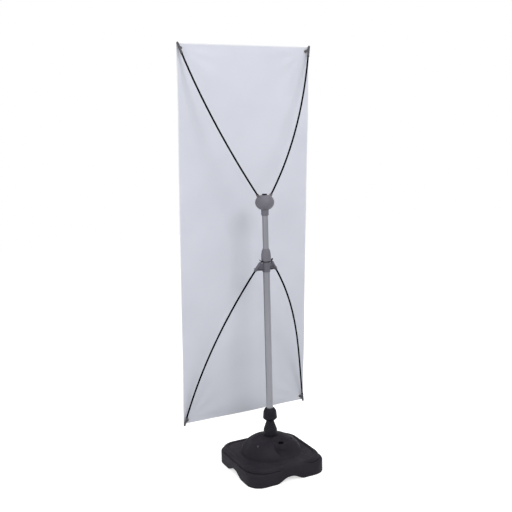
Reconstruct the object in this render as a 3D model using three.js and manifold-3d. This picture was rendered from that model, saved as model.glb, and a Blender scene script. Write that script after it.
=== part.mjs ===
// X banner stand on a water tank base.
// Millimetres, +Z up. The origin is the centre of the base's underside, on the mast's axis.
// The banner's display side faces -Y and the mast stands behind it.

import * as THREE from 'three';
import { mergeVertices } from 'three/addons/utils/BufferGeometryUtils.js';
import Module from 'manifold-3d';

const wasm = await Module();
wasm.setup();

// Driving dimensions

const CLEARANCE = 0.3; // gap between two pieces that touch
const OVERRUN = 3; // how far a cut runs past the face that it opens
const ROUND_STEPS = 24; // flats on a turned piece
const SMALL_STEPS = 12; // flats on a small turned piece
const RING_STEPS = 60; // flats round the tank
const BALL_STEPS = 20; // flats round the hub's ball

const TANK = {
  side: 350,
  cornerRadius: 60,
  wall: 3,
  footRound: 3,
  shoulderHeight: 50,
  ledgeHeight: 60,
  ledgeDepth: 3.5,
  ledgeCorner: 88,
  grooveWidth: 2,
  grooveRise: 0.3,
  crestInset: 16,
  crestHeight: 70,
  troughInset: 24,
  troughHeight: 67,
  troughCorner: 100,
  domeFillet: 4,
  domeRadius: 127,
  domeHeight: 140,
  neckRadius: 24,
  neckRise: 19,
  wellFloor: 20,
  handHoldWidth: 134,
  handHoldTop: 14,
  handHoldHeight: 21,
  handHoldDepth: 46,
  bottomRimWidth: 60,
};

// The scoops pressed into the dome: each has one steep side and one gentle side, in degrees
const SCOOP = {
  count: 3,
  steepAngle: 71,
  steepSpan: 6,
  floorSpan: 32,
  gentleSpan: 74,
  swirl: 15,
  swirlPower: 3,
  innerRadius: 74,
  innerSlant: 14,
  outerRadius: 116,
  floorHeight: 69,
  fallPower: 1.2,
};

// Beside the filler the border's groove and bead fade into a smooth lip, in degrees round the tank
const LIP = { start: 73, startSpan: 9, end: 122, endSpan: 14, round: 12, footHeight: 58 };

const FILLER = {
  angle: 98,
  radius: 74,
  bossHeight: 125.5,
  bossFall: 20,
  bossFlare: 8,
  capRadius: 10.8,
  capThickness: 4,
  sealThickness: 1.2,
  stemRadius: 8,
  stemLength: 11,
  seatMargin: 1,
  seatDepth: 3.5,
  slotWidth: 2.2,
  slotDepth: 1.6,
};

const VENT = { angle: 151, radius: 86.5, holeRadius: 3.8 };
const PIP = { angle: 27, radius: 91, baseRadius: 3.6, height: 4 };

const NECK_CAP = {
  skirtRadius: 28.8,
  skirtHeight: 24.8,
  coneHeight: 35.5,
  waistRadius: 16.2,
  wall: 3.4,
  stubHeight: 37,
  seatRise: 12,
  slots: 4,
  slotWidth: 2.4,
  slotDepth: 17,
};

const NUT = {
  waistGap: 3.4,
  chamferHeight: 11.5,
  gripHeight: 24,
  shoulderHeight: 19,
  footRadius: 17.6,
  gripRadius: 30,
  shoulderRadius: 28,
  rimRadius: 18.5,
  collarRun: 2,
};

const COLLET = { height: 12, footWall: 2.9, tipWall: 1.2, slotWidth: 2.2 };

const LOWER_TUBE = { radius: 14, wall: 1.5, length: 698.5 };
const UPPER_TUBE = { radius: 12, wall: 1.2, length: 480, exposed: 134.5 };

const SPIGOT = {
  radius: 11,
  plugLength: 60,
  collarHeight: 3.4,
  tipChamfer: 3,
};

const TUBE_PLUG = { depth: 20, flange: 4 };

const LOCK = {
  bellRadius: 20.2,
  footRadius: 19.5,
  belowTubeTop: 26,
  aboveTubeTop: 24.5,
  footHeight: 8,
  straightHeight: 12,
  shoulderRadius: 17,
  shoulderDrop: 9.5,
  rimWall: 1.8,
  threadWall: 2.8,
  threadHeight: 22,
  colletHeight: 14,
  colletFootWall: 3,
  colletTipWall: 1.4,
};

const SLIDER = {
  collarGap: 2,
  sleeveWall: 1.9,
  sleeveHeight: 45,
  socketOffset: 25,
  socketRadius: 6,
  socketLength: 45,
  rodDepth: 34,
  webThickness: 3.4,
  webHeightShare: 0.8,
  ribThickness: 4,
  ribDepth: 13,
};

const CLIP = {
  thickness: 1.6,
  ringWall: 4,
  earWidth: 11,
  earReach: 32,
  earBend: 21,
  earRise: 11,
};

const HUB = {
  radius: 38.9,
  halfHeight: 33,
  wall: 3,
  flatTopRise: 29,
  neckRadius: 15.4,
  neckBelowCentre: 54.5,
  neckChamfer: 3,
  tubeTopDrop: 6,
  socketOffset: 11.5,
  socketRadius: 7.6,
  ferruleRadius: 5.8,
  ferruleStart: 25,
  ferruleEnd: 38,
  rodStart: 8,
  seamGap: 0.3,
  bossRadius: 5,
  screwOffset: 23,
  screwDrop: 10,
  screwRadius: 1.9,
  screwHeadRadius: 3.6,
  screwHeadHeight: 2.6,
  screwHeadSink: 3,
  screwReach: 17,
};

const HUB_CAP = { radius: 10, height: 5, stemRadius: 6, stemDepth: 9 };

// The rods leave their sockets at a splay up or down from level and tilt towards the banner
const ROD = {
  radius: 3.5,
  fit: 0.4,
  splay: 57.1,
  upperTilt: 2.1,
  lowerTilt: 10,
  sides: 8,
  steps: 20,
};

const BANNER = {
  width: 600,
  height: 1600,
  thickness: 0.6,
  lean: 3.72,
  floorGap: 162,
  swivelGap: 16.7,
  eyeletInset: 18,
  holeRadius: 5,
  foldDepth: 3,
  foldReach: 240,
  foldStart: 45,
  foldEnd: 500,
  columns: 12,
  rows: 28,
};

const EYELET = { outerRadius: 8, innerRadius: 3.7, flange: 0.6, barrelRadius: 4.7 };

// A hook's places are measured from its banner corner: inward, behind and along the banner
const HOOK = {
  radius: 4.7,
  mouthRadius: 5.3,
  tipInset: 2.7,
  tipBehind: 5.4,
  upperTipRise: 1,
  upperMouthInset: 15,
  upperMouthBehind: 20,
  upperMouthDrop: 40,
  lowerTipRise: 3,
  lowerMouthInset: 11,
  lowerMouthBehind: 12.5,
  lowerMouthDrop: 34,
  rodDepth: 22,
  rimWidth: 6,
  beakTop: 7.2,
  beakHalfWidth: 3.4,
  beakRootNear: 9,
  beakRootFar: 24,
  beakRootThickness: 6,
  pegRadius: 3.1,
  pegReach: 5.5,
};

const FINISH = {
  tank: { color: 0x2b2a2e, roughness: 0.62, metalness: 0 },
  trim: { color: 0x1d1c20, roughness: 0.5, metalness: 0 },
  water: { color: 0x6f93a8, roughness: 0.1, metalness: 0 },
  seal: { color: 0x101012, roughness: 0.8, metalness: 0 },
  tube: { color: 0xa4a3a9, roughness: 0.38, metalness: 0.9 },
  grey: { color: 0x77757c, roughness: 0.5, metalness: 0 },
  clip: { color: 0x3a393d, roughness: 0.45, metalness: 0.4 },
  silver: { color: 0xc9c8c6, roughness: 0.3, metalness: 1 },
  nylon: { color: 0xd9d7cf, roughness: 0.55, metalness: 0 },
  rod: { color: 0x0e0d12, roughness: 0.35, metalness: 0 },
  hook: { color: 0x55545a, roughness: 0.5, metalness: 0 },
  banner: { color: 0xf2f3f7, roughness: 0.45, metalness: 0 },
};

// Small helpers

const radians = THREE.MathUtils.degToRad;
const lerp = THREE.MathUtils.lerp;
const smoothstep = THREE.MathUtils.smoothstep;
const vec = (x, y, z) => new THREE.Vector3(x, y, z);

// Joins shared corners and drops triangles that have collapsed
function weld(geometry) {
  const bare = geometry.clone();
  bare.deleteAttribute('normal');
  bare.deleteAttribute('uv');
  const merged = mergeVertices(bare);
  const index = [];
  for (let i = 0; i < merged.index.count; i += 3) {
    const [a, b, c] = [0, 1, 2].map((k) => merged.index.getX(i + k));
    if (a !== b && b !== c && c !== a) index.push(a, b, c);
  }
  merged.setIndex(index);
  return merged;
}

// Turns the faces out where a profile was drawn the other way round
function faceOut(geometry) {
  const place = geometry.attributes.position;
  const corner = [vec(0, 0, 0), vec(0, 0, 0), vec(0, 0, 0)];
  const index = Array.from(geometry.index.array);
  let volume = 0;
  for (let i = 0; i < index.length; i += 3) {
    corner.forEach((point, k) => point.fromBufferAttribute(place, index[i + k]));
    volume += corner[0].dot(corner[1].clone().cross(corner[2]));
  }
  if (volume < 0) geometry.setIndex(index.reverse());
  return geometry;
}

const closed = (geometry) => faceOut(weld(geometry));

function solid(geometry) {
  const clean = closed(geometry);
  return new wasm.Manifold(new wasm.Mesh({
    numProp: 3,
    vertProperties: new Float32Array(clean.attributes.position.array),
    triVerts: new Uint32Array(clean.index.array),
  }));
}

function shapeOf(body) {
  const mesh = body.getMesh();
  const geometry = new THREE.BufferGeometry();
  geometry.setAttribute('position', new THREE.BufferAttribute(mesh.vertProperties, 3));
  geometry.setIndex(Array.from(mesh.triVerts));
  return geometry;
}

const joined = (bodies) => bodies.reduce((sum, body) => sum.add(body));
const cutBy = (body, tools) => tools.reduce((rest, tool) => rest.subtract(tool), body);

// A turned piece about the Z axis from [radius, height] pairs
function turned(profile, steps = ROUND_STEPS) {
  const points = profile.map(([radius, height]) => new THREE.Vector2(radius, height));
  const geometry = new THREE.LatheGeometry(points, steps);
  geometry.rotateX(Math.PI / 2);
  return closed(geometry);
}

// A ring-shaped profile closes on itself
const turnedRing = (profile, steps) => turned([...profile, profile[0]], steps);

function tubeBetween(inner, outer, low, high, steps) {
  return turnedRing([[inner, low], [outer, low], [outer, high], [inner, high]], steps);
}

function disc(radius, low, high, steps = ROUND_STEPS) {
  return turned([[0, low], [radius, low], [radius, high], [0, high]], steps);
}

// Lays a piece that was turned about Z along a direction from a point
function laid(geometry, origin, direction) {
  const turn = new THREE.Quaternion().setFromUnitVectors(vec(0, 0, 1), direction.clone().normalize());
  return geometry.applyQuaternion(turn).translate(origin.x, origin.y, origin.z);
}

function block(low, high) {
  const size = high.clone().sub(low);
  const centre = high.clone().add(low).multiplyScalar(0.5);
  return new THREE.BoxGeometry(size.x, size.y, size.z).translate(centre.x, centre.y, centre.z);
}

// A closed skin over rings of points that all have the same count
function loft(rings) {
  const count = rings[0].length;
  const points = rings.flat();
  const index = [];
  for (let r = 0; r + 1 < rings.length; r++) {
    for (let i = 0; i < count; i++) {
      const a = r * count + i;
      const b = r * count + (i + 1) % count;
      index.push(a, b, b + count, a, b + count, a + count);
    }
  }
  for (const [ring, first] of [[rings[0], 0], [rings[rings.length - 1], (rings.length - 1) * count]]) {
    const centre = ring.reduce((sum, point) => sum.add(point), vec(0, 0, 0)).divideScalar(count);
    points.push(centre);
    for (let i = 0; i < count; i++) {
      const [a, b] = [first + i, first + (i + 1) % count];
      index.push(...(first === 0 ? [points.length - 1, b, a] : [points.length - 1, a, b]));
    }
  }
  const geometry = new THREE.BufferGeometry().setFromPoints(points);
  geometry.setIndex(index);
  return closed(geometry);
}

const stand = new THREE.Group();

function addPiece(name, geometry, finish, parent = stand) {
  const mesh = new THREE.Mesh(geometry, new THREE.MeshStandardMaterial(finish));
  mesh.name = name;
  parent.add(mesh);
  return mesh;
}

// Heights that the sub-assemblies share

// The dome is half an ellipsoid that stands on the trough's floor
function domeHeightAt(radius) {
  const share = Math.min(radius / TANK.domeRadius, 1);
  return TANK.troughHeight + (TANK.domeHeight - TANK.troughHeight) * Math.sqrt(1 - share ** 2);
}

const neckTop = TANK.domeHeight + TANK.neckRise;
const skirtFoot = domeHeightAt(TANK.neckRadius) + CLEARANCE;
const skirtTop = skirtFoot + NECK_CAP.skirtHeight;
const waistHeight = skirtTop + NECK_CAP.coneHeight;
const stubTop = waistHeight + NECK_CAP.stubHeight;
const seatHeight = waistHeight + NECK_CAP.seatRise;
const tubeFoot = seatHeight + SPIGOT.collarHeight + 2 * CLEARANCE;
const tubeTop = tubeFoot + LOWER_TUBE.length;
const lockTop = tubeTop + LOCK.aboveTubeTop;
const lockFoot = tubeTop - LOCK.belowTubeTop;
const clipTop = lockFoot - SLIDER.collarGap;
const clipFoot = clipTop - CLIP.thickness;
const sliderTop = clipFoot - CLEARANCE;
const sliderFoot = sliderTop - SLIDER.sleeveHeight;
const hubNeckFoot = lockTop + UPPER_TUBE.exposed;
const hubCentre = hubNeckFoot + HUB.neckBelowCentre;
const hubTop = hubCentre + HUB.flatTopRise;
const upperTubeTop = hubCentre - HUB.tubeTopDrop;
const upperTubeFoot = upperTubeTop - UPPER_TUBE.length;

const lowerBore = LOWER_TUBE.radius - LOWER_TUBE.wall;
const upperBore = UPPER_TUBE.radius - UPPER_TUBE.wall;
const wellRadius = SPIGOT.radius + CLEARANCE;
const stubBore = LOWER_TUBE.radius + CLEARANCE;
const rodBore = ROD.radius + ROD.fit;

const halfSide = TANK.side / 2;
const cornerReach = (halfSide - TANK.cornerRadius) * Math.SQRT2 + TANK.cornerRadius;

// Tank base

// Distance from the axis to a rounded square that lies an inset inside the tank's outline
function outlineRadius(angle, inset, ownCorner) {
  const half = halfSide - inset;
  const wallCorner = Math.max(TANK.cornerRadius - inset, half * (TANK.cornerRadius / halfSide));
  const corner = ownCorner ?? wallCorner;
  const quarter = Math.PI / 2;
  let fold = ((angle % quarter) + quarter) % quarter;
  fold = Math.min(fold, quarter - fold);
  if (half * Math.tan(fold) <= half - corner) return half / Math.cos(fold);
  const centre = half - corner;
  const along = centre * (Math.cos(fold) + Math.sin(fold));
  return along + Math.sqrt(along ** 2 - 2 * centre ** 2 + corner ** 2);
}

// The hand-holds lift the tank's lower edge in the middle of each side
function handHoldRise(angle) {
  const radius = outlineRadius(angle, 0);
  const quarter = Math.PI / 2;
  const across = radius * Math.sin(angle - Math.round(angle / quarter) * quarter);
  const fall = smoothstep(Math.abs(across), TANK.handHoldTop / 2, TANK.handHoldWidth / 2);
  return TANK.handHoldHeight * (1 - fall);
}

const runBetween = (value, low, high) => THREE.MathUtils.clamp((value - low) / (high - low), 0, 1);

// How far past the nearest scoop's steep edge an angle lies; the edge swirls as it runs outwards
function pastSteepEdge(angle, radius) {
  const run = runBetween(radius, SCOOP.innerRadius, TANK.domeRadius);
  const steep = radians(SCOOP.steepAngle + SCOOP.swirl * run ** SCOOP.swirlPower);
  return THREE.MathUtils.euclideanModulo(angle - steep, 2 * Math.PI / SCOOP.count);
}

// The dome's height, less the scoops, which start farther out on their gentle side
function domeSkinHeight(angle, radius) {
  const past = pastSteepEdge(angle, radius);
  const floorShare = smoothstep(past, 0, radians(SCOOP.steepSpan))
    * (1 - smoothstep(past, radians(SCOOP.floorSpan), radians(SCOOP.gentleSpan)));
  const inner = SCOOP.innerRadius + SCOOP.innerSlant * smoothstep(past, 0, radians(SCOOP.floorSpan));
  const left = (1 - runBetween(radius, inner, SCOOP.outerRadius)) ** SCOOP.fallPower;
  const ridge = domeHeightAt(radius);
  const floor = lerp(SCOOP.floorHeight, domeHeightAt(inner), left);
  return ridge - Math.max(0, ridge - floor) * floorShare;
}

// 1 on the smooth lip beside the filler, 0 along the rest of the border
function lipShare(angle) {
  const start = radians(LIP.start);
  const end = radians(LIP.end);
  return smoothstep(angle, start, start + radians(LIP.startSpan))
    * (1 - smoothstep(angle, end - radians(LIP.endSpan), end));
}

// A height on the border: its relief, or the smooth lip's rounding where that takes over
function borderHeight(angle, inset, relief) {
  const run = runBetween(inset, 0, LIP.round);
  const smooth = lerp(LIP.footHeight, TANK.crestHeight, Math.sqrt(1 - (1 - run) ** 2));
  return lerp(relief, smooth, lipShare(angle));
}

// The border's corners widen from the ledge to the trough
function borderCorner(inset) {
  const run = runBetween(inset, TANK.ledgeDepth, TANK.troughInset);
  return lerp(TANK.ledgeCorner, TANK.troughCorner, run);
}

const ringAngles = (steps) => Array.from({ length: steps }, (_, i) => 2 * Math.PI * i / steps);
const polar = (angle, radius, height) => vec(radius * Math.cos(angle), radius * Math.sin(angle), height);

function insetRing(inset, heightAt, steps = RING_STEPS, corner = undefined) {
  return ringAngles(steps).map((angle) => {
    const radius = outlineRadius(angle, inset, corner);
    return polar(angle, radius, heightAt(angle));
  });
}

function circleRing(radius, heightAt, steps = RING_STEPS) {
  return ringAngles(steps).map((angle) => polar(angle, radius, heightAt(angle)));
}

function tankOuterRings() {
  const level = (height) => () => height;
  const rings = [
    circleRing(TANK.bottomRimWidth, level(0)),
    insetRing(TANK.handHoldDepth, level(0)),
    insetRing(TANK.handHoldDepth - TANK.ledgeDepth, handHoldRise),
    insetRing(TANK.footRound, handHoldRise),
    insetRing(0, (angle) => handHoldRise(angle) + TANK.footRound),
    insetRing(0, level(TANK.shoulderHeight)),
    ...borderProfile().map(([inset, relief]) => insetRing(
      inset, (angle) => borderHeight(angle, inset, relief), RING_STEPS, borderCorner(inset),
    )),
  ];
  const floorAt = (angle) => borderHeight(angle, TANK.troughInset, TANK.troughHeight);
  const troughShare = 0.5;
  rings.push(ringAngles(RING_STEPS).map((angle) => {
    const outer = outlineRadius(angle, TANK.troughInset, TANK.troughCorner);
    return polar(angle, lerp(outer, TANK.domeRadius, troughShare), floorAt(angle));
  }));
  rings.push(circleRing(TANK.domeRadius + TANK.domeFillet, floorAt));
  const filletShares = [0.25, 0.6];
  const [outShare, upShare] = filletShares;
  rings.push(circleRing(TANK.domeRadius + TANK.domeFillet * outShare,
    (angle) => floorAt(angle) + TANK.domeFillet * upShare));
  const domeShares = [0.985, 0.955, 0.91, 0.85, 0.77, 0.68, 0.59, 0.5, 0.42, 0.34, 0.26];
  for (const share of domeShares) {
    const radius = TANK.domeRadius * share;
    rings.push(circleRing(radius, (angle) => domeSkinHeight(angle, radius)));
  }
  rings.push(circleRing(TANK.neckRadius, level(domeHeightAt(TANK.neckRadius))));
  rings.push(circleRing(TANK.neckRadius, level(neckTop)));
  return rings;
}

// Inset and height of the ledge, the groove, the rounded crest and its fall to the trough
function borderProfile() {
  const grooveInset = TANK.ledgeDepth + TANK.grooveWidth;
  const grooveHeight = TANK.ledgeHeight + TANK.grooveRise;
  const crestTurnShares = [0, 0.3, 0.6, 1];
  const crest = crestTurnShares.map((share) => [
    lerp(TANK.crestInset, grooveInset, Math.cos(share * Math.PI / 2)),
    lerp(grooveHeight, TANK.crestHeight, Math.sin(share * Math.PI / 2)),
  ]);
  const fallShares = [0.5, 0.25];
  const [acrossShare, downShare] = fallShares;
  return [
    [TANK.ledgeDepth, TANK.ledgeHeight],
    ...crest,
    [lerp(TANK.crestInset, TANK.troughInset, acrossShare),
      lerp(TANK.crestHeight, TANK.troughHeight, downShare)],
    [TANK.troughInset, TANK.troughHeight],
  ];
}

// The inside of the tank, or the water in it, which stays a gap inside the walls
function tankInnerRings(gap) {
  const inset = TANK.wall + gap;
  const steps = RING_STEPS / 2;
  const floor = () => inset;
  const ceiling = (height) => () => height - inset;
  const turn = 2 * Math.PI / steps;
  const overHolds = (angle) => Math.max(...nearbyAngles(angle, turn).map(handHoldRise)) + inset;
  const holdInset = TANK.handHoldDepth + inset;
  const ledgeInset = TANK.ledgeDepth + inset;
  const crestInset = TANK.crestInset + inset;
  const rings = [
    circleRing(TANK.bottomRimWidth, floor, steps),
    insetRing(holdInset, floor, steps),
    insetRing(holdInset, overHolds, steps),
    insetRing(inset, overHolds, steps),
    insetRing(inset, ceiling(TANK.shoulderHeight), steps),
    insetRing(ledgeInset, ceiling(TANK.ledgeHeight), steps, borderCorner(TANK.ledgeDepth) - inset),
    insetRing(crestInset, ceiling(TANK.troughHeight), steps, borderCorner(TANK.crestInset) - inset),
    circleRing(TANK.domeRadius - inset, ceiling(TANK.troughHeight), steps),
  ];
  const domeShares = [0.9, 0.72, 0.56, 0.44, 0.3];
  const shellShare = 1.35;
  for (const share of domeShares) {
    const radius = TANK.domeRadius * share;
    rings.push(circleRing(radius, (angle) => {
      const skin = nearbyAngles(angle, turn).flatMap((nearby) => [
        domeSkinHeight(nearby, radius), domeSkinHeight(nearby, radius + inset),
      ]);
      return Math.min(...skin) - inset * shellShare;
    }, steps));
  }
  return rings;
}

// An angle and its neighbours up to a turn away on both sides
function nearbyAngles(angle, turn) {
  const nearbyShares = [-1, -0.5, 0, 0.5, 1];
  return nearbyShares.map((share) => angle + share * turn);
}

const fillerPlace = polar(radians(FILLER.angle), FILLER.radius, 0);
const fillerSeat = FILLER.bossHeight - FILLER.seatDepth;
const fillerBossRadius = FILLER.capRadius + FILLER.seatMargin + TANK.wall;

function tankBase() {
  const wellWall = wellRadius + TANK.wall;
  const cavity = solid(loft(tankInnerRings(0)))
    .subtract(solid(disc(wellWall, 0, neckTop)))
    .subtract(solid(fillerCollar(0)));
  const vent = polar(radians(VENT.angle), VENT.radius, 0);
  const pip = polar(radians(PIP.angle), PIP.radius, 0);
  const pipFoot = domeSkinHeight(radians(PIP.angle), PIP.radius) - PIP.height;
  const pipTop = pipFoot + 2 * PIP.height;
  const bossFoot = FILLER.bossHeight - FILLER.bossFall;
  const fillerBoss = turned([
    [0, bossFoot], [fillerBossRadius + FILLER.bossFlare, bossFoot],
    [fillerBossRadius, FILLER.bossHeight], [0, FILLER.bossHeight],
  ]);
  const tank = solid(loft(tankOuterRings()))
    .add(solid(fillerBoss.translate(fillerPlace.x, fillerPlace.y, 0)))
    .add(solid(disc(PIP.baseRadius, pipFoot, pipTop, SMALL_STEPS).translate(pip.x, pip.y, 0)))
    .subtract(cavity);
  const seatRadius = FILLER.capRadius + FILLER.seatMargin;
  return shapeOf(cutBy(tank, [
    solid(disc(wellRadius, TANK.wellFloor, neckTop + OVERRUN)),
    solid(disc(seatRadius, fillerSeat, TANK.domeHeight).translate(fillerPlace.x, fillerPlace.y, 0)),
    solid(disc(FILLER.stemRadius + CLEARANCE, TANK.ledgeHeight, fillerSeat + OVERRUN)
      .translate(fillerPlace.x, fillerPlace.y, 0)),
    solid(disc(VENT.holeRadius, TANK.ledgeHeight, TANK.domeHeight, SMALL_STEPS)
      .translate(vent.x, vent.y, 0)),
  ]));
}

// The solid plug of wall round the filler's mouth that the cavity leaves standing
function fillerCollar(gap) {
  const foot = fillerSeat - FILLER.stemLength - OVERRUN - gap;
  return disc(fillerBossRadius + gap, foot, TANK.domeHeight).translate(fillerPlace.x, fillerPlace.y, 0);
}

function waterFill() {
  const wellWall = wellRadius + TANK.wall + CLEARANCE;
  return shapeOf(cutBy(solid(loft(tankInnerRings(CLEARANCE))), [
    solid(disc(wellWall, 0, neckTop)),
    solid(fillerCollar(CLEARANCE)),
  ]));
}

function fillerCap() {
  const foot = fillerSeat + FILLER.sealThickness + 2 * CLEARANCE;
  const top = foot + FILLER.capThickness;
  const bevel = FILLER.capThickness / 4;
  const cap = solid(turned([
    [0, foot - FILLER.stemLength], [FILLER.stemRadius, foot - FILLER.stemLength],
    [FILLER.stemRadius, foot], [FILLER.capRadius, foot], [FILLER.capRadius, top - bevel],
    [FILLER.capRadius - bevel, top], [0, top],
  ]));
  const slot = solid(block(
    vec(-FILLER.capRadius - OVERRUN, -FILLER.slotWidth / 2, top - FILLER.slotDepth),
    vec(FILLER.capRadius + OVERRUN, FILLER.slotWidth / 2, top + OVERRUN),
  ));
  return shapeOf(cap.subtract(slot)).translate(fillerPlace.x, fillerPlace.y, 0);
}

function fillerSeal() {
  const low = fillerSeat + CLEARANCE;
  const ring = tubeBetween(FILLER.stemRadius + CLEARANCE, FILLER.capRadius, low, low + FILLER.sealThickness);
  return ring.translate(fillerPlace.x, fillerPlace.y, 0);
}

// Neck that clamps the mast

function neckCap() {
  const threadRadius = TANK.neckRadius + CLEARANCE;
  const ceiling = neckTop + CLEARANCE;
  const boreFoot = waistHeight - NECK_CAP.wall;
  const body = solid(turnedRing([
    [threadRadius, skirtFoot], [NECK_CAP.skirtRadius, skirtFoot], [NECK_CAP.skirtRadius, skirtTop],
    [NECK_CAP.waistRadius, waistHeight], [NECK_CAP.waistRadius, stubTop], [stubBore, stubTop],
    [stubBore, seatHeight], [wellRadius, seatHeight], [wellRadius, boreFoot],
    [threadRadius - NECK_CAP.wall, ceiling], [threadRadius, ceiling],
  ]));
  const slots = [];
  for (let i = 0; i < NECK_CAP.slots / 2; i++) {
    const reach = NECK_CAP.waistRadius + OVERRUN;
    slots.push(solid(block(
      vec(-reach, -NECK_CAP.slotWidth / 2, stubTop - NECK_CAP.slotDepth),
      vec(reach, NECK_CAP.slotWidth / 2, stubTop + OVERRUN),
    ).rotateZ(2 * Math.PI * i / NECK_CAP.slots)));
  }
  return shapeOf(cutBy(body, slots));
}

const nutFoot = waistHeight + NUT.waistGap;
const nutGripTop = nutFoot + NUT.chamferHeight + NUT.gripHeight;
const nutTop = nutGripTop + NUT.shoulderHeight;
const colletFoot = stubTop + CLEARANCE;
const colletTop = colletFoot + COLLET.height;

function neckNut() {
  const thread = NECK_CAP.waistRadius + CLEARANCE;
  const chamberRadius = stubBore + COLLET.footWall + CLEARANCE;
  const throat = stubBore + COLLET.tipWall + CLEARANCE;
  const shoulderShares = [[0.35, 0.86], [0.7, 0.5]];
  const shoulder = shoulderShares.map(([rise, out]) => [
    lerp(NUT.rimRadius, NUT.shoulderRadius, out), nutGripTop + NUT.shoulderHeight * rise,
  ]);
  return turnedRing([
    [thread, nutFoot], [NUT.footRadius, nutFoot],
    [NUT.gripRadius, nutFoot + NUT.chamferHeight],
    [NUT.gripRadius, nutFoot + NUT.chamferHeight + NUT.collarRun],
    [NUT.shoulderRadius, nutGripTop], ...shoulder, [NUT.rimRadius, nutTop],
    [throat, nutTop], [throat, colletTop], [chamberRadius, colletFoot],
    [chamberRadius, stubTop - CLEARANCE], [thread, stubTop - CLEARANCE],
  ]);
}

// A split taper ring that is squeezed on to a tube
function splitCollet(bore, footWall, tipWall, low, high, slotWidth) {
  const ring = solid(turnedRing([
    [bore, low], [bore + footWall, low], [bore + tipWall, high], [bore, high],
  ]));
  const split = solid(block(
    vec(0, -slotWidth / 2, low - OVERRUN),
    vec(bore + footWall + OVERRUN, slotWidth / 2, high + OVERRUN),
  ));
  return shapeOf(ring.subtract(split));
}

// Mast

function mastSpigot() {
  const plugRadius = lowerBore - CLEARANCE;
  const foot = TANK.wellFloor + CLEARANCE;
  const collarFoot = seatHeight + CLEARANCE;
  const collarTop = collarFoot + SPIGOT.collarHeight;
  return turned([
    [0, foot], [SPIGOT.radius - SPIGOT.tipChamfer, foot], [SPIGOT.radius, foot + SPIGOT.tipChamfer],
    [SPIGOT.radius, collarFoot], [LOWER_TUBE.radius, collarFoot], [LOWER_TUBE.radius, collarTop],
    [plugRadius, collarTop], [plugRadius, collarTop + SPIGOT.plugLength],
    [0, collarTop + SPIGOT.plugLength],
  ]);
}

const upperTubePlug = () => turned([
  [0, upperTubeFoot - CLEARANCE - TUBE_PLUG.flange],
  [lowerBore - CLEARANCE, upperTubeFoot - CLEARANCE - TUBE_PLUG.flange],
  [lowerBore - CLEARANCE, upperTubeFoot - CLEARANCE],
  [upperBore - CLEARANCE, upperTubeFoot - CLEARANCE],
  [upperBore - CLEARANCE, upperTubeFoot + TUBE_PLUG.depth],
  [0, upperTubeFoot + TUBE_PLUG.depth],
]);

const threadOuter = LOWER_TUBE.radius + CLEARANCE + LOCK.threadWall;
const threadTop = tubeTop - CLEARANCE;
const lockColletFoot = tubeTop + CLEARANCE;
const lockColletTop = lockColletFoot + LOCK.colletHeight;
const lockColletBore = UPPER_TUBE.radius + CLEARANCE;

function lockCollar() {
  const thread = threadOuter + CLEARANCE;
  const chamber = lockColletBore + LOCK.colletFootWall + CLEARANCE;
  const throat = lockColletBore + LOCK.colletTipWall + CLEARANCE;
  const rim = UPPER_TUBE.radius + CLEARANCE + LOCK.rimWall;
  const topBore = UPPER_TUBE.radius + 2 * CLEARANCE;
  const shoulderHeight = lockTop - LOCK.shoulderDrop;
  const bellTop = lockFoot + LOCK.footHeight + LOCK.straightHeight;
  const waistShare = 0.55;
  const swellShare = 0.62;
  return turnedRing([
    [thread, lockFoot], [LOCK.footRadius, lockFoot], [LOCK.bellRadius, lockFoot + LOCK.footHeight],
    [LOCK.bellRadius, bellTop],
    [lerp(LOCK.bellRadius, LOCK.shoulderRadius, 1 - swellShare), lerp(bellTop, shoulderHeight, waistShare)],
    [LOCK.shoulderRadius, shoulderHeight], [rim, lerp(shoulderHeight, lockTop, waistShare)],
    [topBore, lockTop], [topBore, lockColletTop + CLEARANCE], [throat, lockColletTop + CLEARANCE],
    [chamber, lockColletFoot], [chamber, threadTop], [thread, threadTop],
  ]);
}

const lockThread = () => tubeBetween(
  LOWER_TUBE.radius + CLEARANCE, threadOuter, threadTop - LOCK.threadHeight, threadTop - CLEARANCE,
);

// Rods leave along these lines; side is +1 or -1 along X
function socketLine(side, up, tilt) {
  const splay = radians(ROD.splay);
  const forward = radians(tilt);
  return vec(
    side * Math.cos(splay) * Math.cos(forward),
    -Math.sin(forward),
    up * Math.sin(splay) * Math.cos(forward),
  );
}

const alongLine = (root, line, run) => root.clone().addScaledVector(line, run);

function barAlong(root, line, radius, from, to, steps = SMALL_STEPS) {
  return laid(disc(radius, 0, to - from, steps), alongLine(root, line, from), line);
}

// Slider bracket that carries the lower rods

const sliderRoot = (side) => vec(side * SLIDER.socketOffset, 0, sliderTop);
const lowerLine = (side) => socketLine(side, -1, ROD.lowerTilt);

function sliderBracket() {
  const sleeveRadius = LOWER_TUBE.radius + CLEARANCE + SLIDER.sleeveWall;
  const bore = solid(disc(LOWER_TUBE.radius + CLEARANCE, sliderFoot - OVERRUN, sliderTop + OVERRUN));
  const parts = [solid(disc(sleeveRadius, sliderFoot, sliderTop))];
  const cuts = [bore];
  const cropHeight = block(
    vec(-TANK.side, -TANK.side, sliderFoot),
    vec(TANK.side, TANK.side, sliderTop),
  );
  for (const side of [1, -1]) {
    const line = lowerLine(side);
    const root = sliderRoot(side);
    const end = alongLine(root, line, SLIDER.socketLength);
    parts.push(solid(barAlong(root, line, SLIDER.socketRadius, -OVERRUN, SLIDER.socketLength)));
    parts.push(wingPlate(side, root, end, line));
    parts.push(wingRib(side, end));
    cuts.push(solid(barAlong(root, line, rodBore, SLIDER.socketLength - SLIDER.rodDepth - OVERRUN,
      SLIDER.socketLength + OVERRUN)));
  }
  return shapeOf(cutBy(joined(parts).intersect(solid(cropHeight)), cuts));
}

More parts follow.
